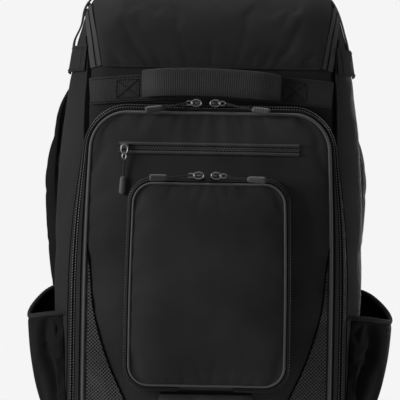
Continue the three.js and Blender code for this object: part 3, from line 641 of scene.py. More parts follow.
def rounded_outline(share, half, low, high, r_low, r_high):
    quarter = math.pi / 2
    lengths = [half - r_low, quarter * r_low, high - low - r_low - r_high, quarter * r_high, 2 * (half - r_high)]
    lengths = [np.mean(length) for length in lengths + lengths[3::-1]]
    ends = np.cumsum(lengths) / np.sum(lengths)
    starts = np.concatenate([[0], ends[:-1]])
    part = np.clip(np.searchsorted(ends, share, side="left"), 0, len(ends) - 1)
    t = (share - starts[part]) / (ends - starts)[part]
    half, low, high, r_low, r_high = np.broadcast_arrays(share, half, low, high, r_low, r_high)[1:]
    up = high - low - r_low - r_high

    def arc(centre_u, centre_v, r, first):
        angle = (first + t) * quarter
        return centre_u + r * np.cos(angle), centre_v + r * np.sin(angle)

    sides = [
        (t * (half - r_low), low),
        arc(half - r_low, low + r_low, r_low, -1),
        (half, low + r_low + t * up),
        arc(half - r_high, high - r_high, r_high, 0),
        ((half - r_high) * (1 - 2 * t), high),
        arc(r_high - half, high - r_high, r_high, 1),
        (-half, high - r_high - t * up),
        arc(r_low - half, low + r_low, r_low, 2),
        ((t - 1) * (half - r_low), low),
    ]
    return [np.choose(part, [np.broadcast_to(side[axis], share.shape) for side in sides]) for axis in (0, 1)]


corner = rounded_outline(np.array([0.0, 0.5]), half=10, low=0, high=20, r_low=3, r_high=3)
print("start and middle of an outline:", np.round(corner, 1).T.tolist())

# %% [markdown]
# The body is one lofted shell: it runs from the middle of the base, out and up the walls, and in again under the
# lid. The walls sag and swell a little between the base and the top, which the cloth run gives them. At the back
# corners two square wells are cut for the wheel housings, with bisect planes so that the cut edges are straight.

# %% Body cloth
BODY_GRID = {"columns": 116, "rows": 66}
CAP = {"rows": 0.09, "share": 0.12}
HELD = {"above": 600, "below": 26, "front": -30, "half": 175}
WELL_FIT = Vector((0.0008, 0.0008, 0.0008))
WELL_BELOW = Vector((0, 0, 0.05))
WELL_BEHIND = Vector((0, 0.05, 0))
CUT_NEAR = Vector((0.03, 0.03, 0.03))
CLOTH = 2


def body_surface(u, v):
    stops = [0, CAP["rows"], 1 - CAP["rows"], 1]
    z = np.interp(v, stops, [BODY["z"][0]] * 2 + [BODY["z"][-1]] * 2)
    inward = np.interp(v, stops, [CAP["share"], 1, 1, CAP["share"]])
    half, front, back, r_front, r_back = body_section(z)
    x, y = rounded_outline(u, half, front, back, r_front, r_back)
    middle = (front + back) / 2
    return np.stack([x * inward, middle + (y - middle) * inward, z], axis=1)


def face_middles(piece):
    middles = np.empty(len(piece.data.polygons) * 3)
    piece.data.polygons.foreach_get("center", middles)
    return middles.reshape(-1, 3)


def in_box(piece, low, high):
    """Marks the faces whose middles lie in a box."""
    middles = face_middles(piece)
    return ((middles > np.array(low)) & (middles < np.array(high))).all(axis=1)


def work_on(piece, chosen, step, **settings):
    """Runs one mesh operator on the chosen faces of the active piece."""
    bpy.ops.object.mode_set(mode="EDIT")
    bpy.ops.mesh.select_mode(type="FACE")
    bpy.ops.mesh.select_all(action="DESELECT")
    bpy.ops.object.mode_set(mode="OBJECT")
    piece.data.polygons.foreach_set("select", chosen)
    bpy.ops.object.mode_set(mode="EDIT")
    getattr(bpy.ops.mesh, step)(**settings)
    bpy.ops.object.mode_set(mode="OBJECT")


def cut_box(piece, low, high):
    """Cuts the sides of a box into a piece and takes out the faces inside it."""
    activate(piece)
    for axis in range(3):
        normal = [float(axis == other) for other in range(3)]
        for corner in (low, high):
            near = in_box(piece, low - CUT_NEAR, high + CUT_NEAR)
            work_on(piece, near, "bisect", plane_co=corner, plane_no=normal)
    work_on(piece, in_box(piece, low, high), "delete", type="FACE")


def node_box(name):
    return [Vector(corner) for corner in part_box(name)]


body_cloth = draped("body_cloth", **BODY_GRID, surface=body_surface, joined=True)
spots = points_of(body_cloth) / MM
under_lid = (spots[:, 2] > HELD["above"]) | (spots[:, 2] < HELD["below"])
under_front = (spots[:, 1] < HELD["front"]) & (np.abs(spots[:, 0]) < HELD["half"])
filled(body_cloth, under_lid | under_front, pressure=2.0, slack=0.014, limit=1.2)
rounded(body_cloth)
edit("fill_holes", sides=0)
for side in ("left", "right"):
    low, high = node_box(f"wheel_housing_{side}")
    cut_box(body_cloth, low - WELL_FIT - WELL_BELOW, high + WELL_FIT + WELL_BEHIND)
walled(body_cloth, CLOTH)
# The body shell wears the darker side cloth, which is painted shade.
finished(body_cloth, shaded_side_cloth, ["main_body"])
print("body cloth:", len(body_cloth.data.polygons), "faces")

# %% [markdown]
# The front compartment and the pocket are both trays: a base outline sewn down, a side wall that bellies out, and a
# crowned face. The face gets narrower towards the top by a shoulder. The same few readings serve both.

# %% The drawing of the compartment and the pocket
COMPARTMENT = {
    "base": {"half": 188, "low": 44, "high": 508, "r_low": 60, "r_high": 66, "shoulder": 33, "from": 250},
    "face": {"half": 163, "low": 70, "high": 496, "r_low": 48, "r_high": 49, "shoulder": 6, "from": 250},
    "edge": {"z": [70, 120, 230, 340, 440, 496], "y": [-116, -122, -124, -120, -110, -101]},
    "crown": 7,
    "belly": 4,
}
POCKET = {
    "base": {"half": 106, "low": 132, "high": 408, "r_low": 31, "r_high": 31, "shoulder": 3, "from": 200},
    "face": {"half": 102, "low": 138, "high": 402, "r_low": 27, "r_high": 27, "shoulder": 3, "from": 200},
    "edge": {"z": [138, 270, 402], "y": [-150, -152, -140]},
    "crown": 6,
    "belly": 2,
}
CROWN_POWER = 4
ROW_CROWD = 2.6


def half_at(shape, z):
    past = np.maximum((z - shape["from"]) / (shape["high"] - shape["from"]), 0)
    return shape["half"] - shape["shoulder"] * past**2


def tray_outline(shape, share):
    drawn = [shape[key] for key in ("half", "low", "high", "r_low", "r_high")]
    x, z = rounded_outline(share, *drawn)
    return x * half_at(shape, z) / shape["half"], z


def middle_shape(tray):
    mean = {key: (tray["base"][key] + tray["face"][key]) / 2 for key in tray["base"]}
    grown = {"half": tray["belly"], "low": -tray["belly"], "high": tray["belly"]}
    return {key: value + grown.get(key, 0) for key, value in mean.items()}


def face_depth(tray, x, z):
    face = tray["face"]
    middle = (face["low"] + face["high"]) / 2
    u = np.minimum(np.abs(x) / half_at(face, z), 1)
    v = np.minimum(np.abs(z - middle) / (face["high"] - middle), 1)
    return column_at(tray["edge"], "y", z) - tray["crown"] * (1 - u**CROWN_POWER) * (1 - v**CROWN_POWER)


def face_surface(tray):
    """A face's rows narrow into the rounded corners, and lie closer together there."""
    face = tray["face"]

    def surface(u, v):
        z = face["low"] + (face["high"] - face["low"]) * (v - np.sin(2 * math.pi * v) / (ROW_CROWD * math.pi))
        past_low = np.maximum(face["low"] + face["r_low"] - z, 0)
        past_high = np.maximum(z - face["high"] + face["r_high"], 0)
        corner = np.where(past_low > 0, face["r_low"], face["r_high"])
        lost = corner - np.sqrt(np.maximum(corner**2 - np.maximum(past_low, past_high) ** 2, 0))
        x = (2 * u - 1) * half_at(face, z) * (1 - lost / face["half"])
        return np.stack([x, face_depth(tray, x, z), z], axis=1)

    return surface


def wall_surface(tray, seat, lift=0.0):
    """A side wall from the base to the edge of the face, lifted off itself for what is sewn on it."""

    def drawn(u, v):
        base_x, base_z = tray_outline(tray["base"], u)
        base = np.stack([base_x, seat(base_x, base_z), base_z], axis=1)
        edge_x, edge_z = tray_outline(tray["face"], u)
        edge = np.stack([edge_x, face_depth(tray, edge_x, edge_z), edge_z], axis=1)
        belly_x, belly_z = tray_outline(middle_shape(tray), u)
        belly = np.stack([belly_x, (base[:, 1] + edge[:, 1]) / 2, belly_z], axis=1)
        v = v[:, None]
        pull = 2 * belly - (base + edge) / 2
        return (1 - v) ** 2 * base + 2 * v * (1 - v) * pull + v**2 * edge

    def surface(u, v):
        step = 1e-3
        along = drawn((u + step) % 1, v) - drawn((u - step) % 1, v)
        forward = drawn(u, v + step) - drawn(u, v - step)
        return drawn(u, v) + unit(np.cross(along, forward)) * lift

    return surface


print("compartment depth at its middle:", round(float(face_depth(COMPARTMENT, 0.0, 283.0)), 1))

# %% [markdown]
# Each tray is laid in two panels. The wall runs round the outline, and the face is filled from its seam, which gives
# the soft crown and the small puckers under the top edge. Later pieces lie on the cloth as it settled, so a reader
# looks straight at a finished panel and gives back its depth.

# %% Tray panels
WALL_ROWS = 8
LOOK_FROM_Y = -0.5
TRUST = 15.0


def rim(piece):
    """Marks the points on the open edges of a panel."""
    mesh = piece.data
    sides = np.empty(len(mesh.loops), np.int32)
    mesh.loops.foreach_get("edge_index", sides)
    ends = np.empty(len(mesh.edges) * 2, np.int32)
    mesh.edges.foreach_get("vertices", ends)
    single = np.bincount(sides, minlength=len(mesh.edges)) == 1
    marked = np.zeros(len(mesh.vertices), bool)
    marked[ends.reshape(-1, 2)[single].ravel()] = True
    return marked


def depth_reader(piece, drawn):
    tree = BVHTree.FromObject(piece, bpy.context.evaluated_depsgraph_get())

    def depth(x, z):
        x, z = np.broadcast_arrays(np.asarray(x, float), np.asarray(z, float))
        found = np.array(drawn(x, z), float)
        for index, (px, pz) in enumerate(zip(x.ravel(), z.ravel())):
            hit = tree.ray_cast(Vector((px * MM, LOOK_FROM_Y, pz * MM)), Vector((0, 1, 0)))[0]
            if hit and abs(hit.y / MM + MIDDLE - found.flat[index]) < TRUST:
                found.flat[index] = hit.y / MM + MIDDLE
        return found

    return depth


def tray_panels(name, node, tray, seat, columns, rows, around, pressure, slack, limit):
    face = draped(name + "_face", columns, rows, face_surface(tray))
    filled(face, rim(face), pressure, slack, limit)
    rounded(face)
    walled(face, CLOTH)
    finished(face, cloth, [node])
    wall = draped(name + "_wall", around, WALL_ROWS, wall_surface(tray, seat), joined=True)
    rounded(wall)
    walled(wall, CLOTH)
    finished(wall, cloth)
    print(name, "panels:", len(face.data.polygons), "and", len(wall.data.polygons), "faces")
    return face


def compartment_seat(x, z):
    return body_front(x, z) - GAP


compartment = tray_panels(
    "compartment", "front_compartment", COMPARTMENT, compartment_seat,
    columns=62, rows=76, around=220, pressure=2.5, slack=0.012, limit=5.0,
)
compartment_depth = depth_reader(compartment, lambda x, z: face_depth(COMPARTMENT, x, z))


def pocket_seat(x, z):
    return face_depth(COMPARTMENT, x, z) - GAP


tray_panels(
    "pocket", "pocket", POCKET, pocket_seat,
    columns=48, rows=60, around=180, pressure=2.5, slack=0.010, limit=4.0,
)

# %% [markdown]
# A piping is a cord wrapped in cloth and caught in the seam between face and wall. It follows the outline of the
# face, a little outside it and a little forward, so it hides the seam as the real one does.

# %% Pipings
PIPING_OUT = 0.7
PIPING_FORWARD = 0.5


def face_edge(tray, count):
    """Line round the edge of a face, with the directions that point out from it."""
    share = np.arange(count) / count
    x, z = tray_outline(tray["face"], share)
    line = np.stack([x, face_depth(tray, x, z), z], axis=1)
    tangent = unit(np.roll(line, -1, axis=0) - np.roll(line, 1, axis=0))
    return line, unit(np.cross((0, -1, 0), tangent))


def add_piping(name, node, tray, radius, count):
    line, out = face_edge(tray, count)
    middle = line + out * radius * PIPING_OUT + np.array((0, -1, 0)) * radius * PIPING_FORWARD
    piece = tube(name, middle, radius, sides=10, closed=True)
    finished(piece, piping_cloth, [node])
    print(name, "length in mm:", round(float(travelled(middle)[-1])))


add_piping("compartment_piping", "front_piping", COMPARTMENT, radius=2.3, count=420)
add_piping("pocket_edge_piping", "pocket_piping", POCKET, radius=1.6, count=320)

# %% [markdown]
# A zip is two woven tapes with a nylon coil sewn along the edge of each. Closed, the coils lock between the tapes,
# and the outer turns show as two rows of dots. Each row is a tube that swells and thins with every turn. The tapes
# are one strip lifted just off the wall, which gets narrower over the top, where the wall is narrow too. The groove
# under the coil and the seam that holds the outer edge lie in the shade, so each is a separate near-black strip:
# painted shade.

# %% Zips round the trays
COIL = {"pitch": 3.6, "swell": 0.45, "steps": 4, "points": 600}
TAPE = 1.2
TAPE_GRID = (240, 6)
ZIP_LIFT = 1.0
SEAM_SHADE = {"share": 0.24, "thick": 0.5}
GROOVE_SHADE = {"share": 0.045, "thick": 0.3}


def coil(name, line, facing, radius, phase=0.0):
    points, places = resampled(line, COIL["pitch"] / COIL["steps"])
    share = np.linspace(0, 1, len(line))
    wanted = np.linspace(0, 1, len(points))
    facing = np.broadcast_to(np.asarray(facing, float), np.shape(line))
    out = np.stack([np.interp(wanted, share, facing[:, axis]) for axis in range(3)], axis=1)
    turns = np.sin(2 * math.pi * places / COIL["pitch"] + phase)
    return tube(name, points, radius * (1 - COIL["swell"] + COIL["swell"] * turns), sides=6, facing=out)


def tray_zip(name, node, tray, seat, rows, begin, apart, radius):
    """Tapes up one side, over the top and down the other, with the two rows of the coil."""

    def share(column, shift=0.0):
        return lambda u: column_at(rows, column, tray_outline(tray["base"], u)[1]) + shift

    def laid_between(part, low, high, lift, thick, material):
        """Strip along the wall between two shares of its depth, which may change with the height."""

        def surface(u, v):
            u = begin + u * (1 - 2 * begin)
            return wall_surface(tray, seat, lift + thick)(u, low(u) + v * (high(u) - low(u)))

        piece = draped(f"{name}_{part}", *TAPE_GRID, surface)
        walled(piece, thick)
        return finished(piece, material)

    tape = laid_between("tape", share("low"), share("high"), ZIP_LIFT, TAPE, tape_cloth)
    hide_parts(node)
    # The seam strip and the groove strip below are near-black: painted shade, not the colour of the tape.
    laid_between("seam", share("low", -SEAM_SHADE["share"]), share("low"), ZIP_LIFT / 2, SEAM_SHADE["thick"], painted_shade)
    half = apart + GROOVE_SHADE["share"]
    laid_between("groove", share("coil", -half), share("coil", half), ZIP_LIFT + TAPE, GROOVE_SHADE["thick"], painted_shade)
    along = np.linspace(begin, 1 - begin, COIL["points"])
    coils = []
    for offset, phase in ((-apart, 0.0), (apart, math.pi)):
        row = share("coil", offset)(along)
        line = wall_surface(tray, seat, ZIP_LIFT + TAPE)(along, row)
        out = line - wall_surface(tray, seat)(along, row)
        coils.append(coil(name, line, unit(out), radius, phase))
    row = finished(joined_as(f"{name}_coil", coils), coil_nylon)
    print(name, "coil:", len(row.data.polygons), "faces")


FRONT_ROWS = {
    "z": [70, 330, 450, 500],
    "low": [0.34, 0.36, 0.64, 0.64],
    "coil": [0.65, 0.66, 0.80, 0.80],
    "high": [0.93, 0.93, 0.95, 0.95],
}
POCKET_ROWS = {"z": [130, 410], "low": [0.48] * 2, "coil": [0.66] * 2, "high": [0.95] * 2}
FRONT_COIL = {"begin": 0.115, "apart": 0.075, "radius": 1.5}
POCKET_COIL = {"begin": 0.04, "apart": 0.07, "radius": 0.8}
tray_zip("compartment_zip", "front_zip", COMPARTMENT, compartment_seat, FRONT_ROWS, **FRONT_COIL)
tray_zip("pocket_edge_zip", "pocket_zip", POCKET, pocket_seat, POCKET_ROWS, **POCKET_COIL)

# %% [markdown]
# The straight zip on the compartment lies in a slot: two rolled lips of cloth with the coil between them in the
# shade. The lips are half round tubes, flattened on the cloth, and the tape lies under them.

# %% Straight zip
SLASH = {"left": -120, "right": 117, "z": 447, "height": 16, "tape": 14, "lip": 2.4, "coil": 1.5, "apart": 1.2}
SLASH_FORWARD = {"tape": 1.2, "lip": 1.4, "coil": 1.9}
LIP_RIDGE = 0.07


def slash_surface(u, v):
    x = SLASH["left"] + u * (SLASH["right"] - SLASH["left"])
    z = SLASH["z"] + (v - 0.5) * SLASH["tape"]
    return np.stack([x, compartment_depth(x, z) - SLASH_FORWARD["tape"], z], axis=1)


def level_line(z, forward, count=120):
    x, z = np.linspace(SLASH["left"], SLASH["right"], count), np.full(count, float(z))
    return np.stack([x, compartment_depth(x, z) - forward, z], axis=1)


slash_tape = draped("slash_tape", columns=90, rows=6, surface=slash_surface)
walled(slash_tape, thick=1.0)
finished(slash_tape, tape_cloth, ["slash_zip"])
for name, offset in (("slash_lip_upper", 1), ("slash_lip_lower", -1)):
    z = SLASH["z"] + offset * (SLASH["height"] / 2 - SLASH["lip"])
    line, places = resampled(level_line(z, SLASH_FORWARD["lip"]), COIL["pitch"] / COIL["steps"])
    ridges = SLASH["lip"] * (1 + LIP_RIDGE * np.sin(2 * math.pi * places / COIL["pitch"]))
    finished(tube(name, line, ridges, sides=10), lid_tape)
slash_rows = []
for offset, phase in ((-1, 0.0), (1, math.pi)):
    line = level_line(SLASH["z"] + offset * SLASH["apart"], SLASH_FORWARD["coil"])
    slash_rows.append(coil("slash", line, (0, -1, 0), SLASH["coil"], phase))
finished(joined_as("slash_coil", slash_rows), coil_nylon)
print("straight zip at", SLASH["z"], "mm")

# %% [markdown]
# What is sewn on the body lies on the cloth as it settled, not as it was drawn. A ray from outside finds how far the
# cloth has swollen at a place, and strips of tape and webbing are raised by that much.

# %% Places on the settled cloth
LOOK_FROM = 20.0
SETTLED = (-3, 8)
RIB_PITCH = 2.9
PLAIN_STEP = 3.0
body_tree = BVHTree.FromObject(body_cloth, bpy.context.evaluated_depsgraph_get())


def on_cloth(points, gap):
    found = on_body(points, 0)
    out = unit(body_slope(found))
    swollen = np.zeros(found.shape[:-1])
    for index in np.ndindex(swollen.shape):
        start = Vector(metres(found[index] + out[index] * LOOK_FROM))
        near = body_tree.ray_cast(start, Vector(-out[index]), 2 * LOOK_FROM * MM)[3]
        if near is not None:
            swollen[index] = np.clip(LOOK_FROM - near / MM, *SETTLED)
    return found + out * (np.asarray(gap) + swollen)[..., None]


def route_frame(route, step):
    """Points along a route on the body, how far along they are, and the direction across it."""
    points, places = resampled(smooth_line(route), step)
    out = unit(body_slope(on_body(points, 0)))
    return points, places, unit(np.cross(out, np.gradient(points, axis=0)))


def strip(name, route, low, high, lift, thick, rib=0.0, rows=4, slack=0.0):
    """Band on the body between two distances from its route, with ribs across it. A slack one stands off twice."""
    points, places, across = route_frame(route, RIB_PITCH / 4 if rib else PLAIN_STEP)
    last = len(points) - 1
    ribs = rib * np.abs(np.sin(math.pi * places / RIB_PITCH))
    ribs += slack * np.sin(2 * math.pi * places / places[-1]) ** 2

    def surface(u, v):
        index = np.rint(u * last).astype(int)
        spot = points[index] + across[index] * (low + (high - low) * v)[:, None]
        return on_cloth(spot, lift + thick + ribs[index])

    piece = draped(name, last, rows, surface)
    walled(piece, thick)
    return piece


print("settled cloth at the side:", np.round(on_cloth(np.array([[209.0, 20.0, 400.0]]), gap=0.0), 1))

# %% [markdown]
# The lid is one panel that hangs over the front edge. Each of its lines climbs the front of the body, turns over the
# top and ends behind. It is cut a little wide, so soft dents run up from the hem, as on a half-filled bag.

# %% Lid
LID = {"low": 556, "high": 640, "low_half": 146, "high_half": 160, "back": 84, "lift": 3.2, "sunk": 0.8}
TOP_BELOW = 668
TOP_FROM = 560.0
HALVINGS = 24
LID_GRID = {"columns": 66, "rows": 66}
LID_STEPS = {"rising": 200, "level": 120}


def body_top(x, y):
    """Height of the body's top at a place, by halving."""
    low, high = np.full(y.shape, TOP_FROM), np.full(y.shape, float(BODY["z"][-1]))
    for _ in range(HALVINGS):
        middle = (low + high) / 2
        inside = body_distance(np.stack([np.full(y.shape, x), y, middle], axis=-1)) < 0
        low, high = np.where(inside, middle, low), np.where(inside, high, middle)
    return low


def lid_line(share):
    z = np.linspace(LID["low"], BODY["z"][-1], LID_STEPS["rising"])
    x = share * np.interp(z, [LID["low"], LID["high"]], [LID["low_half"], LID["high_half"]])
    kept = np.abs(x) < column_at(BODY, "half", z) - 1
    x, z = x[kept], z[kept]
    rising = np.stack([x, body_front(x, z), z], axis=1)
    y = np.linspace(rising[-1, 1], LID["back"], LID_STEPS["level"])[1:]
    level = np.stack([np.full(y.shape, x[-1]), y, body_top(x[-1], y)], axis=1)
    return evenly(np.concatenate([rising, level]), LID_GRID["rows"] + 1)[0]


def table_surface(table):
    """Surface that reads its points from a table of rows and columns."""
    rows, columns = np.array(table.shape[:2]) - 1
    return lambda u, v: table[np.rint(v * rows).astype(int), np.rint(u * columns).astype(int)]


def raised(table, lift):
    out = np.cross(np.gradient(table, axis=1), np.gradient(table, axis=0))
    return table + unit(out) * np.asarray(lift)[..., None]


def kept_off(piece, gap):
    """Moves points that have sunk into the body back out of it."""
    points = drawn_points(piece)
    near = (body_distance(points) < gap) & (points[:, 2] < TOP_BELOW)
    points[near] = on_body(points[near], gap)
    move_points(piece, metres(points))


lid_table = np.stack([lid_line(share) for share in np.linspace(-1, 1, LID_GRID["columns"] + 1)], axis=1)
lid = draped("lid_cloth", **LID_GRID, surface=table_surface(raised(lid_table, LID["lift"])))
filled(lid, rim(lid), pressure=1.5, slack=0.008, limit=2.6)
kept_off(lid, LID["lift"] - LID["sunk"])
rounded(lid)
walled(lid, CLOTH)
finished(lid, lid_fabric, ["lid"])
print("lid:", len(lid.data.polygons), "faces")

# %% [markdown]
# The zips of the lid run up both sides of the top: a wide outer tape, a groove with the coil in it, and a
# narrow inner tape against the lid. The groove lies in shadow, so it is a near-black strip of painted shade. The left
# one is a mirrored copy.

# %% Zips of the lid
LID_ZIP_ROUTE = [
    (158, -62, 555),
    (164, -48, 598),
    (169, -24, 628),
    (171, 0, 636),
    (171, 32, 637),
    (170, 66, 635),
]
LID_ZIP = {
    "outer_tape": {"low": -4.0, "high": 3.4, "lift": 1.2, "thick": 1.4},
    "inner_tape": {"low": 6.4, "high": 11.8, "lift": 1.6, "thick": 1.4},
    "groove": {"low": 3.0, "high": 6.8, "lift": 0.2, "thick": 0.6},
}
LID_COIL = {"across": 4.9, "lift": 1.0, "radius": 0.8}
for part, sizes in LID_ZIP.items():
    piece = strip(f"lid_{part}_right", LID_ZIP_ROUTE, **sizes)
    # The groove takes the near-black painted shade; the tapes take the tape cloth.
    material = painted_shade if part == "groove" else lid_tape
    both_sides(piece, material, "lid_zip" if part == "outer_tape" else None)
points, _, across = route_frame(LID_ZIP_ROUTE, step=1.0)
zip_line = on_cloth(points + across * LID_COIL["across"], LID_COIL["lift"])
both_sides(coil("lid_coil_right", zip_line, unit(body_slope(zip_line)), LID_COIL["radius"]), coil_nylon)
print("lid zip length in mm:", round(float(travelled(zip_line)[-1])))

# %% [markdown]
# Where the side panels meet the front there is a deep seam: a gap in shadow with a narrow welt beside it. The shade
# in the gap is painted as a near-black strip from the compartment up to the zip of the lid. A welt alone runs down
# the back corners.

# %% Welts of the body
WELT = {"radius": 1.7, "lift": 0.4, "step": 4.0}
WELT_BESIDE = (3.8, 0, 0)
FRONT_SEAM_SHADE = {"low": -2.8, "high": 2.8, "lift": 0.2, "thick": 0.6}
SEAM_ROUTE = [(163, -58, 452), (164, -58, 500), (163, -57, 540), (163, -52, 572), (168, -40, 598)]
BACK_ROUTE = [(188, 98, 96), (196, 97, 200), (199, 97, 320), (194, 97, 440), (184, 97, 540), (168, 94, 620)]


def welt(name, route):
    line = on_cloth(resampled(smooth_line(route), WELT["step"])[0], WELT["lift"])
    both_sides(tube(name, line, WELT["radius"], sides=8, facing=body_slope(line)), cloth)


welt("front_welt_right", np.array(SEAM_ROUTE) + WELT_BESIDE)
# The gap beside the welt is a near-black strip of painted shade.
both_sides(strip("front_seam_right", SEAM_ROUTE, **FRONT_SEAM_SHADE), painted_shade)
welt("back_welt_right", BACK_ROUTE)
print("back welt length in mm:", round(float(travelled(smooth_line(BACK_ROUTE))[-1])))

# %% [markdown]
# The lower corners of the compartment carry panels of spacer mesh. The panel is a grid of small cells. Every second
# cell is inset and pushed in, which gives diagonal rows of holes as in the knitted cloth; the holes take a darker
# finish, painted shade. Cells outside the panel's outline are deleted, and a thin near-black tube of painted shade
# runs along the seam at the inner edge up to the piping.

# %% Mesh panels
MESH_EDGE = {"z": [82, 118, 170, 230, 292], "x": [91, 107, 130, 148, 155]}
MESH_TIP = {"z": [308, 326], "x": [157.5, 161]}
MESH_CELL = 2.3
MESH_MARGIN = 1.5
MESH_FORWARD = 1.3
MESH_HOLE = {"thickness": 0.0004, "depth": -0.0010, "use_individual": True}
MESH_SEAM_SHADE = {"forward": 0.9, "radius": 1.1, "levels": 12}


def face_half(z):
    face = COMPARTMENT["face"]
    past = np.clip(face["low"] + face["r_low"] - z, 0, face["r_low"])
    return half_at(face, z) - face["r_low"] + np.sqrt(face["r_low"] ** 2 - past**2)


def mesh_limits(z):
    inner = column_at(MESH_EDGE, "x", z)
    return inner, np.maximum(face_half(z) - MESH_MARGIN, inner)


def mesh_panel():
    low, high = MESH_EDGE["z"][0], MESH_EDGE["z"][-1]
    left, right = MESH_EDGE["x"][0], MESH_EDGE["x"][-1] + MESH_MARGIN
    columns, rows = int((right - left) / MESH_CELL), int((high - low) / MESH_CELL)

    def surface(u, v):
        x, z = left + (right - left) * u, low + (high - low) * v
        return np.stack([x, compartment_depth(x, z) - MESH_FORWARD, z], axis=1)

    def outside():
        x, _, z = face_middles(piece).T / MM
        inner, outer = mesh_limits(z)
        return (x < inner) | (x > outer)

    piece = draped("mesh_cloth_right", columns, rows, surface)
    x, _, z = face_middles(piece).T / MM
    column = ((x - left) / (right - left) * columns).astype(int)
    row = ((z - low) / (high - low) * rows).astype(int)
    piece.data.materials.append(mesh_cloth)
    # The pushed-in holes take the darker mesh finish: painted shade in the holes.
    piece.data.materials.append(mesh_shade)
    activate(piece)
    work_on(piece, ~outside() & ((column + row) % 2 == 0), "inset", **MESH_HOLE)
    chosen = np.zeros(len(piece.data.polygons), bool)
    piece.data.polygons.foreach_get("select", chosen)
    piece.data.polygons.foreach_set("material_index", chosen.astype(np.int32))
    work_on(piece, outside(), "delete", type="FACE")
    return piece


mesh_right = mesh_panel()
for side, piece in (("right", mesh_right), ("left", mirrored(mesh_right, "mesh_cloth_left"))):
    declared(piece, [f"mesh_panel_{side}"])
levels = np.linspace(MESH_EDGE["z"][0], MESH_EDGE["z"][-1], MESH_SEAM_SHADE["levels"])
edge_x = np.append(mesh_limits(levels)[0], MESH_TIP["x"])
edge_z = np.append(levels, MESH_TIP["z"])
seam_line = np.stack([edge_x, compartment_depth(edge_x, edge_z) - MESH_SEAM_SHADE["forward"], edge_z], axis=1)
seam_line = resampled(smooth_line(seam_line, steps=12), PLAIN_STEP)[0]
# A thin near-black tube of painted shade along the seam at the mesh's inner edge.
both_sides(tube("mesh_seam_right", seam_line, MESH_SEAM_SHADE["radius"], sides=8), painted_shade)
print("mesh panel:", len(mesh_right.data.polygons), "faces")

# %% [markdown]
# Threads hold the webbing. A row of stitches is a thin tube that rises over the cloth and dives under it, so only the
# top of each stitch shows.

# %% Sewing
STITCH = {"pitch": 3.6, "radius": 0.5, "rise": 0.55, "steps": 6, "row": 2.0}
HEM = {"half": LID["low_half"] - 3, "y": -66, "up": (5, 9), "points": 60}


def sewn(name, lines):
    """Rows of stitches along lines. Each line comes with the directions that face out of the cloth."""
    threads = []
    for line, facing in lines:
        rows = np.concatenate([line, np.broadcast_to(facing, line.shape)], axis=1)
        points, places = resampled(rows, STITCH["pitch"] / STITCH["steps"])
        wave = np.sin(2 * math.pi * places / STITCH["pitch"])[:, None]
        out = unit(points[:, 3:])
        stitches = points[:, :3] + out * wave * STITCH["rise"]
        threads.append(tube(name, stitches, STITCH["radius"], sides=5, facing=out))
    return joined_as(name, threads)


def on_body_rows(routes, lift):
    """Lines on the settled cloth, with the directions out of it."""
    rows = []
    for route in routes:
        line = on_cloth(resampled(np.asarray(route, float), STITCH["row"])[0], lift)
        rows.append((line, unit(body_slope(line))))
    return rows


hem_x = np.linspace(-HEM["half"], HEM["half"], HEM["points"])
hem_rows = [np.array([(x, HEM["y"], LID["low"] + up) for x in hem_x]) for up in HEM["up"]]
finished(sewn("lid_hem_stitches", on_body_rows(hem_rows, LID["lift"])), thread)
print("stitches per 100 mm:", round(100 / STITCH["pitch"]))

# %% [markdown]
# The handle band is a wide ribbed webbing across the front. Its ribs are real ridges, one for each thick cross
# thread. It is held by boxes of stitches with a cross in them, on both sides of the grab handle.

# %% Handle band
WEB = 1.8
RIB = 0.45
BAND = {"half": 162, "width": 36, "z": 531.5, "drop": 9, "rib": 0.6 * RIB, "hem": 2.5, "points": 41}
BOX = {"inner": 97, "outer": 127, "up": 12}


def band_height(x):
    return BAND["z"] - BAND["drop"] * (x / BAND["half"]) ** 2


band_x = np.linspace(-BAND["half"], BAND["half"], BAND["points"])
band_route = np.stack([band_x, body_front(band_x, band_height(band_x)), band_height(band_x)], axis=1)
band = strip("handle_band_webbing", band_route, -BAND["width"] / 2, BAND["width"] / 2, GAP, WEB, BAND["rib"], rows=8)
finished(band, webbing, ["handle_band"])


def box_lines(left, right, low, high):
    """A box with a cross in it, as corner points for each row of stitches."""
    corners = [(left, low), (right, low), (right, high), (left, high)]
    around = corners + corners[:1]
    return [around, [corners[0], corners[2]], [corners[1], corners[3]]]


box_rows = []
for side in (-1, 1):
    for line in box_lines(side * BOX["inner"], side * BOX["outer"], -BOX["up"], BOX["up"]):
        places = resampled(np.array([(x, 0.0, up) for x, up in line], float), STITCH["row"])[0]
        places[:, 2] += band_height(places[:, 0])
        places[:, 1] = body_front(places[:, 0], places[:, 2])
        box_rows.append(places)
finished(sewn("band_box_stitches", on_body_rows(box_rows, GAP + WEB + RIB)), thread)
edge_rows = [band_route + (0, 0, side * (BAND["width"] / 2 - BAND["hem"])) for side in (-1, 1)]
finished(sewn("band_edge_stitches", on_body_rows(edge_rows, GAP + WEB + RIB)), thread)
print("handle band:", len(band.data.polygons), "faces")

# %% [markdown]
# Webbing that stands off the bag is swept: a flat section with rounded edges is carried along a line. The grab handle
# is a folded webbing, so it is thicker, and its cross ribs are the first thing the eye meets at the top of the bag.

# %% Grab handle and lower loop
ARCH = {"power": 8, "points": 400}
HANDLE = {"half": 91, "z": 536, "drop": 4, "rise": 21, "thick": 4.5}
HANDLE_WIDE = 37
HANDLE_TILT = 0.02
LOOP = {"half": 61, "z": 114, "drop": 0, "rise": 8, "thick": 2.4}
NARROW_WEB = 25


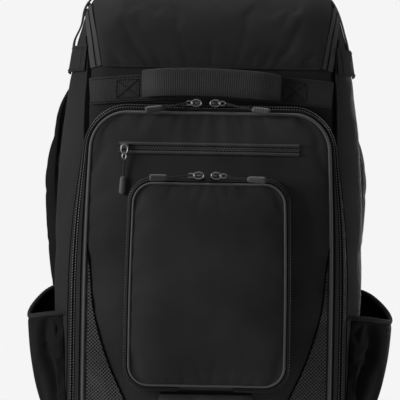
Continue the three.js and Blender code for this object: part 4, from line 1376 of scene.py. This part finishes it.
def swept(name, line, across, width, thick, rib=0.0, power=5.0, around=28):
    """A rounded flat section carried along a line. Ribs raise both of its broad sides."""
    line = np.asarray(line, float)
    tangent = unit(np.gradient(line, axis=0))
    across = np.broadcast_to(np.asarray(across, float), line.shape)
    across = unit(across - tangent * (across * tangent).sum(axis=1, keepdims=True))
    out = np.cross(across, tangent)
    last = len(line) - 1
    ribs = rib * np.abs(np.sin(math.pi * travelled(line) / RIB_PITCH))

    def squared(wave):
        return np.sign(wave) * np.abs(wave) ** (2 / power)

    def surface(u, v):
        index = np.rint(u * last).astype(int)
        flat = squared(np.cos(2 * math.pi * v)) * width / 2
        up = squared(np.sin(2 * math.pi * v)) * (thick / 2 + ribs[index])
        return line[index] + across[index] * flat[:, None] + out[index] * up[:, None]

    piece = draped(name, last, around, surface, joined=True)
    edit("fill_holes", sides=0)
    return piece


def arch_line(seat, half, z, drop, rise, thick):
    share = np.linspace(-1, 1, ARCH["points"])
    height = z - drop * share**2
    y = seat(half * share, height) - rise * (1 - np.abs(share) ** ARCH["power"]) - thick / 2
    return resampled(np.stack([half * share, y, height], axis=1), RIB_PITCH / 5)[0]


handle_seat = float(body_front(0.0, float(BAND["z"]))) - 2 * GAP - WEB - RIB
handle_line = arch_line(lambda x, z: np.full(x.shape, handle_seat), **HANDLE)
handle_line[:, 2] -= HANDLE_TILT * handle_line[:, 0]
handle = swept("grab_handle_webbing", handle_line, (0, 0, 1), HANDLE_WIDE, HANDLE["thick"], RIB, power=4.0)
finished(handle, webbing, ["grab_handle"])
loop_line = arch_line(lambda x, z: compartment_depth(x, z) - GAP, **LOOP)
loop = swept("lower_loop_webbing", loop_line, (0, 0, 1), NARROW_WEB, LOOP["thick"], RIB)
finished(loop, webbing, ["lower_loop"])
print("grab handle:", len(handle.data.polygons), "faces")

# %% [markdown]
# Side tabs hold the top corners, and narrow compression straps run from them over the shoulders of the bag. Both lie
# on the settled cloth, with rows of stitches where they are sewn down.

# %% Side tabs and compression straps
TAB_ROUTE = [(167, -54, 568), (175, -49, 568), (183, -38, 568), (188, -22, 568), (190, 26, 568)]
COMPRESSION_ROUTE = [(191, -18, 566), (190, -16, 586), (182, -12, 612), (174, -6, 640), (160, 2, 664)]
TAB = {"half": 18, "lift": 3, "sewn": 15, "first": 4}
COMPRESSION_HALF = 10
LEFT_SLACK = 3.0
tab = strip("side_tab_webbing_right", TAB_ROUTE, -TAB["half"], TAB["half"], TAB["lift"], WEB, RIB, rows=8)
both_sides(tab, tab_webbing, "side_tab")
for side, sign, slack in (("right", 1, 0.0), ("left", -1, LEFT_SLACK)):
    route = np.array(COMPRESSION_ROUTE) * (sign, 1, 1)
    wide = (-COMPRESSION_HALF, COMPRESSION_HALF)
    compression = strip(f"compression_webbing_{side}", route, *wide, GAP, WEB, RIB, rows=6, slack=slack)
    finished(compression, webbing, [f"compression_strap_{side}"])
points, _, across = route_frame(TAB_ROUTE, STITCH["row"])
tab_rows = [points + across * side * TAB["sewn"] for side in (-1, 1)]
first = TAB["first"]
tab_rows.append(points[first] + across[first] * np.linspace(-TAB["sewn"], TAB["sewn"], 16)[:, None])
both_sides(sewn("tab_stitches_right", on_body_rows(tab_rows, TAB["lift"] + WEB + RIB)), thread)
print("side tabs sewn with", len(tab_rows), "rows each")

# %% [markdown]
# A bottle pocket is a sheet sewn to the side along three edges and held open by its rim. It bulges away from the body
# and folds near the front, where the cloth is slack. The rim is an elastic binding: a thick rolled hem with fine
# gathers along it. The left pocket is less full than the right one.

# %% Bottle pockets
BOTTLE = {"front": -52, "back": 78, "low": 58, "mouth_front": 221, "mouth_back": 250, "sag": 20, "fullness": 0.55}
BOTTLE_SWELL = {"z": [0, 0.1, 0.33, 0.66, 1], "out": [3.2, 15, 30, 40, 44]}
BOTTLE_FOLD = {
    "z": [0, 0.12, 0.35, 0.8, 0.95, 1],
    "deep": [0, 7, 14, 14, 7, 1],
    "at": [0.14, 0.14, 0.12, 0.11, 0.07, 0.05],
}
FOLD_WIDE = 0.045
BOTTLE_WALL = 1.6
COLUMN_CROWD = 0.6
RIM = {"radius": 3.4, "back_radius": 5.0, "out": 0.4, "up": 2.6, "points": 160, "sides": 14}
RIM_TUCK = np.array((9, 3, 0))
RIM_GROWS = [0, 0.4, 0.6, 1]
LEFT_FULL = 0.86
GATHER = {"pitch": 5.0, "swell": 0.05}


def bottle_mouth(along):
    slope = BOTTLE["mouth_front"] + (BOTTLE["mouth_back"] - BOTTLE["mouth_front"]) * along
    return slope - BOTTLE["sag"] * np.sin(math.pi * along)


def bottle_surface(u, v, lift=0.0):
    along = u - COLUMN_CROWD * np.sin(2 * math.pi * u) / (2 * math.pi)
    y = BOTTLE["front"] + (BOTTLE["back"] - BOTTLE["front"]) * along
    z = BOTTLE["low"] + (bottle_mouth(along) - BOTTLE["low"]) * v
    swell = column_at(BOTTLE_SWELL, "out", v) * np.sin(math.pi * along).clip(0) ** BOTTLE["fullness"]
    return np.stack([body_side(y, z) + GAP + swell, y, z + lift], axis=1)


def folded(piece):
    """Presses the slack fold into the front of a filled pocket, square to the cloth."""
    spots = drawn_points(piece)
    out = np.array([vertex.normal for vertex in piece.data.vertices])
    out *= np.where(out[:, :1] < 0, -1, 1)
    along = (spots[:, 1] - BOTTLE["front"]) / (BOTTLE["back"] - BOTTLE["front"])
    v = (spots[:, 2] - BOTTLE["low"]) / (bottle_mouth(along) - BOTTLE["low"])
    away = (along - column_at(BOTTLE_FOLD, "at", v)) / FOLD_WIDE
    pressed = spots - (column_at(BOTTLE_FOLD, "deep", v) * np.exp(-(away**2)))[:, None] * out
    closest = np.minimum(spots[:, 0], body_side(pressed[:, 1], pressed[:, 2]) + GAP)
    pressed[:, 0] = np.maximum(pressed[:, 0], closest)
    move_points(piece, metres(pressed))


def drawn_in(piece, share):
    """Brings a piece closer to the side of the body."""
    spots = drawn_points(piece)
    side = body_side(spots[:, 1], spots[:, 2])
    spots[:, 0] = np.sign(spots[:, 0]) * (side + (np.abs(spots[:, 0]) - side) * share)
    move_points(piece, metres(spots))


bottle = draped("bottle_cloth_right", columns=52, rows=56, surface=bottle_surface)
filled(bottle, rim(bottle), pressure=1.5, slack=0.035, limit=6.0)
folded(bottle)
rounded(bottle)
walled(bottle, BOTTLE_WALL)
_, bottle_left = both_sides(bottle, stretch_cloth, "bottle_pocket")
share = np.linspace(0, 1, RIM["points"])
mouth_line = bottle_surface(share, np.ones(RIM["points"]), RIM["up"]) + (RIM["out"], 0, 0)
mouth_line = np.concatenate([mouth_line[:1] - RIM_TUCK, mouth_line, mouth_line[-1:] - RIM_TUCK * (1, -1, 1)])
mouth_line, places = evenly(mouth_line, count=260)
thicker = np.interp(places / places[-1], RIM_GROWS, [RIM["radius"]] * 2 + [RIM["back_radius"]] * 2)
gathers = thicker * (1 + GATHER["swell"] * np.sin(2 * math.pi * places / GATHER["pitch"]))
rim_piece = tube("bottle_binding_right", mouth_line, gathers, RIM["sides"], facing=(1, 0, 0), squash=0.8)
_, rim_left = both_sides(rim_piece, rim_cloth, "bottle_rim")
for piece in (bottle_left, rim_left):
    drawn_in(piece, LEFT_FULL)
print("bottle pocket:", len(bottle.data.polygons), "faces")

# %% [markdown]
# The shoulder straps are foam pads in a cloth sleeve. A pad is swept along its route, turning as it goes round the
# side of the bag, and is then filled from its two edge seams. A narrow binding covers each edge, and the webbing
# below starts inside the end of the pad. Loose straps do not hang evenly, and here both lie a little to the left.

# %% Shoulder straps
STRAP_ROUTE = [
    (72, 147, 590, 0),
    (112, 148, 578, 8),
    (160, 147, 545, 30),
    (196, 143, 505, 62),
    (215, 139, 462, 91),
    (222, 136, 421, 100),
    (222, 134, 385, 102),
    (217, 134, 320, 104),
    (210, 134, 258, 102),
    (203, 134, 210, 94),
]
STRAP_WEB_ROUTE = [
    (205, 134, 224, 96),
    (202, 134, 205, 92),
    (196, 131, 167, 80),
    (187, 123, 132, 58),
    (178, 115, 106, 38),
    (170, 110.6, 82, 22),
]
STRAP = {"width": 62, "thick": 16, "seam": 0.47, "edge": 0.485, "binding": 2.6, "rib": 0.25}
STRAP_HANG = (-0.006, 0, 0)


def turned_frame(route, step):
    """Points along a strap and the direction across it, which turns about the strap's own line."""
    rows = resampled(smooth_line(route), step)[0]
    line, turn = rows[:, :3], np.radians(rows[:, 3:])
    tangent = unit(np.gradient(line, axis=0))
    level = unit(np.cross((0, -1, 0), tangent))
    return line, level * np.cos(turn) + np.cross(tangent, level) * np.sin(turn)


def hung_over(pieces):
    """Moves pieces to the side that the straps hang over to."""
    for piece in pieces:
        move_points(piece, points_of(piece) + STRAP_HANG)


def edge_seams(piece, line, across, width):
    """Marks the points near both edges of a swept pad and at its ends."""
    spots = drawn_points(piece)
    nearest = np.linalg.norm(spots[:, None] - line[None], axis=2).argmin(axis=1)
    reach = np.abs(((spots - line[nearest]) * across[nearest]).sum(axis=1))
    return (reach > width * STRAP["seam"]) | (nearest < 2) | (nearest > len(line) - 3)


strap_line, strap_across = turned_frame(STRAP_ROUTE, step=5.0)
strap = swept("strap_pad_right", strap_line, strap_across, STRAP["width"], STRAP["thick"], power=3.0, around=32)
filled(strap, edge_seams(strap, strap_line, strap_across, STRAP["width"]), pressure=2.0, slack=0.01, limit=1.5)
rounded(strap)
pads = both_sides(strap, pad_cloth, "strap")
hung_over(pads)
for name, side in (("inner", -1), ("outer", 1)):
    edge_line = resampled(strap_line + strap_across * STRAP["width"] * side * STRAP["edge"], step=4.0)[0]
    binding = tube(f"strap_{name}_binding_right", edge_line, STRAP["binding"], sides=10)
    hung_over(both_sides(binding, pad_cloth))
web_line, web_across = turned_frame(STRAP_WEB_ROUTE, RIB_PITCH / 4)
strap_web = swept("strap_webbing_right", web_line, web_across, NARROW_WEB, WEB, STRAP["rib"])
hung_over(both_sides(strap_web, webbing, "strap_web"))
print("strap length in mm:", round(float(travelled(strap_line)[-1])))

# %% [markdown]
# The back panel is a padded tray that lies against the wearer. Two upright channels and one across are sewn through
# it, so the padding stands up in six cushions between them. Its top has two openings for the rods of the handle.

# %% Back panel
PANEL = {
    "base": {"half": 148, "low": 100, "high": 598, "r_low": 40, "r_high": 44, "shoulder": 0, "from": 0},
    "face": {"half": 141, "low": 107, "high": 591, "r_low": 33, "r_high": 37, "shoulder": 0, "from": 0},
    "edge": {"z": [107, 591], "y": [-133, -133]},
    "crown": 4,
    "belly": 2,
}
CHANNEL = {"x": 47, "z": 352, "deep": 6, "wide": 6, "held": 3}
PANEL_SEAT = -110.6
PANEL_WALL = 3
PANEL_PIPING = {"forward": 0.8, "radius": 2.2, "points": 420}
TURN_BACK = np.array((-1, -1, 1))
ROD_OPENING = Vector((0.0008, 0.0008, 0.02))
panel_face = face_surface(PANEL)


def from_channel(x, z):
    return np.minimum(np.abs(np.abs(x) - CHANNEL["x"]), np.abs(z - CHANNEL["z"]))


def channelled(u, v):
    points = panel_face(u, v)
    away = from_channel(points[:, 0], points[:, 2])
    points[:, 1] += CHANNEL["deep"] * np.exp(-((away / CHANNEL["wide"]) ** 2))
    return points * TURN_BACK


panel = draped("back_panel_pad", columns=66, rows=88, surface=channelled)
spots = points_of(panel) / MM
sewn_through = from_channel(spots[:, 0], spots[:, 2]) < CHANNEL["held"]
filled(panel, rim(panel) | sewn_through, pressure=3.0, slack=0.02, limit=5.0)
rounded(panel)
walled(panel, PANEL_WALL)
finished(panel, panel_cloth, ["back_panel"])
panel_side = wall_surface(PANEL, lambda x, z: np.full(x.shape, PANEL_SEAT))


def turned_side(u, v):
    return panel_side(u, v) * TURN_BACK


panel_wall = draped("back_panel_wall", columns=260, rows=WALL_ROWS, surface=turned_side, joined=True)
rounded(panel_wall)
for side in ("left", "right"):
    low, high = node_box(f"handle_tube_{side}")
    low.z = high.z - ROD_OPENING.z
    cut_box(panel_wall, low - ROD_OPENING, high + ROD_OPENING)
finished(panel_wall, cloth)
edge_line, _ = face_edge(PANEL, PANEL_PIPING["points"])
edge_line = (edge_line - (0, PANEL_PIPING["forward"], 0)) * TURN_BACK
panel_piping = tube("back_panel_piping", edge_line, PANEL_PIPING["radius"], sides=10, closed=True)
finished(panel_piping, cloth)
print("back panel:", len(panel.data.polygons), "faces")

# %% [markdown]
# A slider is a small metal casting that wedges the coil shut. It is a bevelled block with a hollow pressed into its
# face and a bridge over it. A wire ring hangs on the bridge, and a smaller link behind it takes the cord of the pull.

# %% Sliders
SLIDER = {"long": 11, "wide": 7, "tall": 5}
PULLS = [
    {"name": "front_left", "on": "front", "x": -17, "z": 508, "end": (-86, -115, 497)},
    {"name": "front_right", "on": "front", "x": 4, "z": 508, "end": (78, -115, 497)},
    {"name": "pocket_left", "on": "pocket", "x": -12, "z": 412, "end": (-78, -151, 408)},
    {"name": "pocket_right", "on": "pocket", "x": 7, "z": 412, "end": (73, -151, 407)},
    {"name": "slash", "on": "slash", "x": -112, "z": 449, "end": (-114, -127, 386)},
]
WIRE = 1.05
RING = {"long": 13, "wide": 8.5}
LINK = {"long": 8.5, "wide": 5.0}
HANG = {"upright": 4.0, "level": 2.0, "forward": 1.4}
CORD_TIE = 0.4
FACING_FRONT = -0.9
HOLLOW = {"thickness": 0.0011, "depth": -0.0006}
BRIDGE = {"half": 3.6, "high": 2.2, "sunk": 0.5, "radius": 0.9}


def slider_place(row):
    lying = compartment_depth(row["x"], row["z"]) - 2 * GAP - TAPE - SLIDER["tall"] / 2
    depths = {
        "slash": float(lying),
        "front": COMPARTMENT["edge"]["y"][-1] + SLIDER["wide"] / 2,
        "pocket": POCKET["edge"]["y"][-1] + SLIDER["wide"] / 2,
    }
    return np.array((row["x"], depths[row["on"]], row["z"]), float)


def pull_way(row):
    return np.array((0, 0, -1.0)) if row["on"] == "slash" else np.array((np.sign(row["end"][0]), 0, 0.0))


def block(name, middle, size):
    """A cube at its place and size in metres."""
    bpy.ops.object.select_all(action="DESELECT")
    bpy.ops.mesh.primitive_cube_add(size=1)
    piece = bpy.context.object
    piece.name = piece.data.name = name
    move_points(piece, points_of(piece) * size + middle)
    return piece


def slider_block(name, place, size):
    piece = block(name, metres(place), np.array(size) * MM)
    front = [polygon.normal.y < FACING_FRONT for polygon in piece.data.polygons]
    work_on(piece, front, "inset", **HOLLOW)
    modified(piece, "BEVEL", width=0.0008, segments=3, limit_method="ANGLE")
    return piece


def oval(middle, along, across, long, wide, count=28):
    angle = np.linspace(0, 2 * math.pi, count, endpoint=False)[:, None]
    return middle + np.cos(angle) * along * long / 2 + np.sin(angle) * across * wide / 2


def add_slider(row):
    place, way = slider_place(row), pull_way(row)
    upright = row["on"] == "slash"
    size = (SLIDER["long"], SLIDER["tall"], SLIDER["wide"]) if upright else tuple(SLIDER.values())
    face = place - (0, size[1] / 2, 0)
    casting = slider_block(row["name"] + "_slider_metal", place, size)
    arc = np.linspace(0, math.pi, 12)[:, None]
    rise = np.cos(arc) * (BRIDGE["half"], 0, 0) - np.sin(arc) * (0, BRIDGE["high"], 0)
    bridge_line = face + rise + (0, BRIDGE["sunk"], 0)
    bridge = tube("bridge", bridge_line, BRIDGE["radius"], sides=8, facing=(0, 0, 1))
    reach = HANG["upright" if upright else "level"]
    middle = face + way * reach - (0, HANG["forward"], 0)
    ring = oval(middle, way, np.cross(way, (0, 1, 0)), **RING)
    behind = middle + way * (RING["long"] + LINK["long"] - 3 * WIRE) / 2
    link = oval(behind, way, np.cross(way, (0, 1, 0)), **LINK)
    loops = [tube("loop", line, WIRE, sides=6, closed=True) for line in (ring, link)]
    piece = joined_as(casting.name, [casting, bridge, *loops])
    finished(piece, slider_metal, [row["name"] + "_slider"])
    return behind + way * LINK["long"] * CORD_TIE


cord_starts = {row["name"]: add_slider(row) for row in PULLS}
print("sliders at:", {name: np.round(start).astype(int).tolist() for name, start in cord_starts.items()})

# %% [markdown]
# Each pull is a doubled cord with a moulded end, ribbed for the fingers. The two strands of the cord are twisted
# tubes, and the end is a flattened tube whose radius follows the mould: a waist where the cord goes in, and low ribs.

# %% Pulls
CORD = {"radius": 0.95, "apart": 1.0, "twist": 9.0, "points": 90, "sag": 1.2, "inside": 0.06}
END_LONG = 25
END_RIBS = {"count": 7, "swell": 0.035, "from": 0.2, "to": 0.88}
END_OFF_CLOTH = 3.5
END_PROFILE = {"z": [0, 0.06, 0.14, 0.3, 0.8, 0.94, 1.0], "radius": [1.8, 3.2, 4.0, 4.3, 4.6, 4.3, 3.0]}


def add_pull(row):
    start, end = cord_starts[row["name"]], np.array(row["end"], float)
    if row["on"] == "slash":
        end[1] = float(compartment_depth(end[0], end[2])) - END_OFF_CLOTH
    share = np.linspace(0, 1, CORD["points"])[:, None]
    line = start + (end - start) * share - np.sin(math.pi * share) * (0, 0, CORD["sag"])
    end_share = 1 - END_LONG / travelled(line)[-1]
    cord_end = int(CORD["points"] * (end_share + CORD["inside"]))
    along = unit(end - start)
    side = unit(np.cross(along, (0, -1, 0)))
    strands = []
    for turn in (0, math.pi):
        angle = turn + 2 * math.pi * travelled(line)[:, None] / CORD["twist"]
        strand = line + CORD["apart"] * (np.cos(angle) * side + np.sin(angle) * np.cross(side, along))
        strands.append(tube("strand", strand[:cord_end], CORD["radius"], sides=6))
    cord = joined_as(row["name"] + "_cord", strands)
    finished(cord, webbing)
    moulded_line, places = evenly(line[int(CORD["points"] * end_share):], count=80)
    inside = places / places[-1]
    ribbed = (inside > END_RIBS["from"]) & (inside < END_RIBS["to"])
    waves = np.sin(2 * math.pi * END_RIBS["count"] * inside) * ribbed
    radius = column_at(END_PROFILE, "radius", inside) * (1 + END_RIBS["swell"] * waves)
    grip_end = tube(row["name"] + "_pull_end", moulded_line, radius, sides=16, squash=0.66)
    finished(grip_end, pull_rubber, [row["name"] + "_pull"])


for row in PULLS:
    add_pull(row)
print("pulls:", len(PULLS))

# %% [markdown]
# The wheels carry the bag when it is tipped back. A tyre is turned from a profile and its tread is cut in across the
# rim. The hub behind it has five windows between spokes. Both turn about the axle, so they ride on the wheel's body.

# %% Wheels
WHEEL = {"x": 152, "y": 92, "radius": 41}
TYRE_HALF = [(32, -10), (34.5, -12.4), (37, -12.8), (40, -10.4), (41, -7), (41, 0)]
HUB_HALF = [(31.4, -9), (29.4, -9.6), (27.6, -8.4), (27, -5.4), (14.5, -5.4), (12.8, -8), (12, -10.6), (10.8, -11)]
HUB_HALF += [(5.4, -11), (5.4, 0)]
TREAD = {"blocks": 30, "deep": 1.5, "wide": 0.3, "slant": 0.02, "from": 39, "middle": 2}
WINDOW = {"spokes": 5, "face": 5.4, "radius": 28, "wide": -0.2, "share": 0.45, "near": 0.1}


def turned(name, half, steps, change):
    """Half a profile, mirrored and closed, and turned about the wheel's axis. At each angle it may be changed."""
    other = [(radius, -across) for radius, across in half[-2::-1]]
    profile = np.array(half + other + [(half[0][0], 0), half[0]], float)

    def surface(u, v):
        row = profile[np.rint(v * (len(profile) - 1)).astype(int)]
        angle = -2 * math.pi * u
        radius, across = change(row[:, 0], row[:, 1], angle)
        y, z = radius * np.cos(angle), radius * np.sin(angle)
        return np.stack([WHEEL["x"] + across, WHEEL["y"] + y, WHEEL["radius"] + z], axis=1)

    return draped(name, steps, len(profile) - 1, surface, joined=True)


def cut_tread(radius, across, angle):
    phase = (angle / (2 * math.pi) * TREAD["blocks"] + TREAD["slant"] * across) % 1
    groove = (phase < TREAD["wide"]) & (radius > TREAD["from"]) & (np.abs(across) > TREAD["middle"])
    return radius - TREAD["deep"] * groove, across


def cut_windows(radius, across, angle):
    wave = np.cos(WINDOW["spokes"] * angle)
    pressed = (np.abs(np.abs(across) - WINDOW["face"]) < WINDOW["near"]) & (radius < WINDOW["radius"])
    return radius, np.where(pressed & (wave > WINDOW["wide"]), across * WINDOW["share"], across)


tyre = turned("tyre_tread_right", TYRE_HALF, steps=240, change=cut_tread)
hub = turned("hub_spokes_right", HUB_HALF, steps=120, change=cut_windows)
both_sides(tyre, rubber, "wheel_tyre", "wheel")
both_sides(hub, plastic, "wheel_hub", "wheel")
print("tyre:", len(tyre.data.polygons), "faces")

# %% [markdown]
# The housings, feet, tubes and rods keep their engineering shapes, which are already what a mould or an extrusion
# gives. They only take on a finish, on their own material slots.

# %% Finishes on engineering pieces
KEPT = {plastic: ["wheel_housing", "foot", "handle_tube"], rod_metal: ["handle_rod"]}
for material, stems in KEPT.items():
    for stem in stems:
        for side in ("left", "right"):
            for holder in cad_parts[f"{stem}_{side}"].material_slots:
                holder.material = material
print("kept nodes:", sum(2 * len(stems) for stems in KEPT.values()))

# %% [markdown]
# The grip of the pull-out handle is a moulded bar with soft edges and a push button in its top. It slides up with the
# rods, so it rides on the handle's body.

# %% Grip
BUTTON = {"half": 14, "radius": 4.2, "sunk": 0.5}
low, high = [np.array(corner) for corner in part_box("handle_grip")]
grip = block("handle_grip_moulding", (low + high) / 2, high - low)
modified(grip, "BEVEL", width=0.006, segments=5)
button_y = (low[1] + high[1]) / 2 / MM + MIDDLE
button_z = high[2] / MM - BUTTON["sunk"]
button_line = [(x, button_y, button_z) for x in (-BUTTON["half"], BUTTON["half"])]
button_line = resampled(button_line, step=1.0)[0]
button = tube("button", button_line, BUTTON["radius"], sides=20, facing=(0, 0, 1), squash=0.35)
grip = joined_as(grip.name, [grip, button])
finished(grip, plastic, ["handle_grip"], "pull_handle", angle=50)
print("grip box in metres:", [np.round(corner, 3).tolist() for corner in (low, high)])
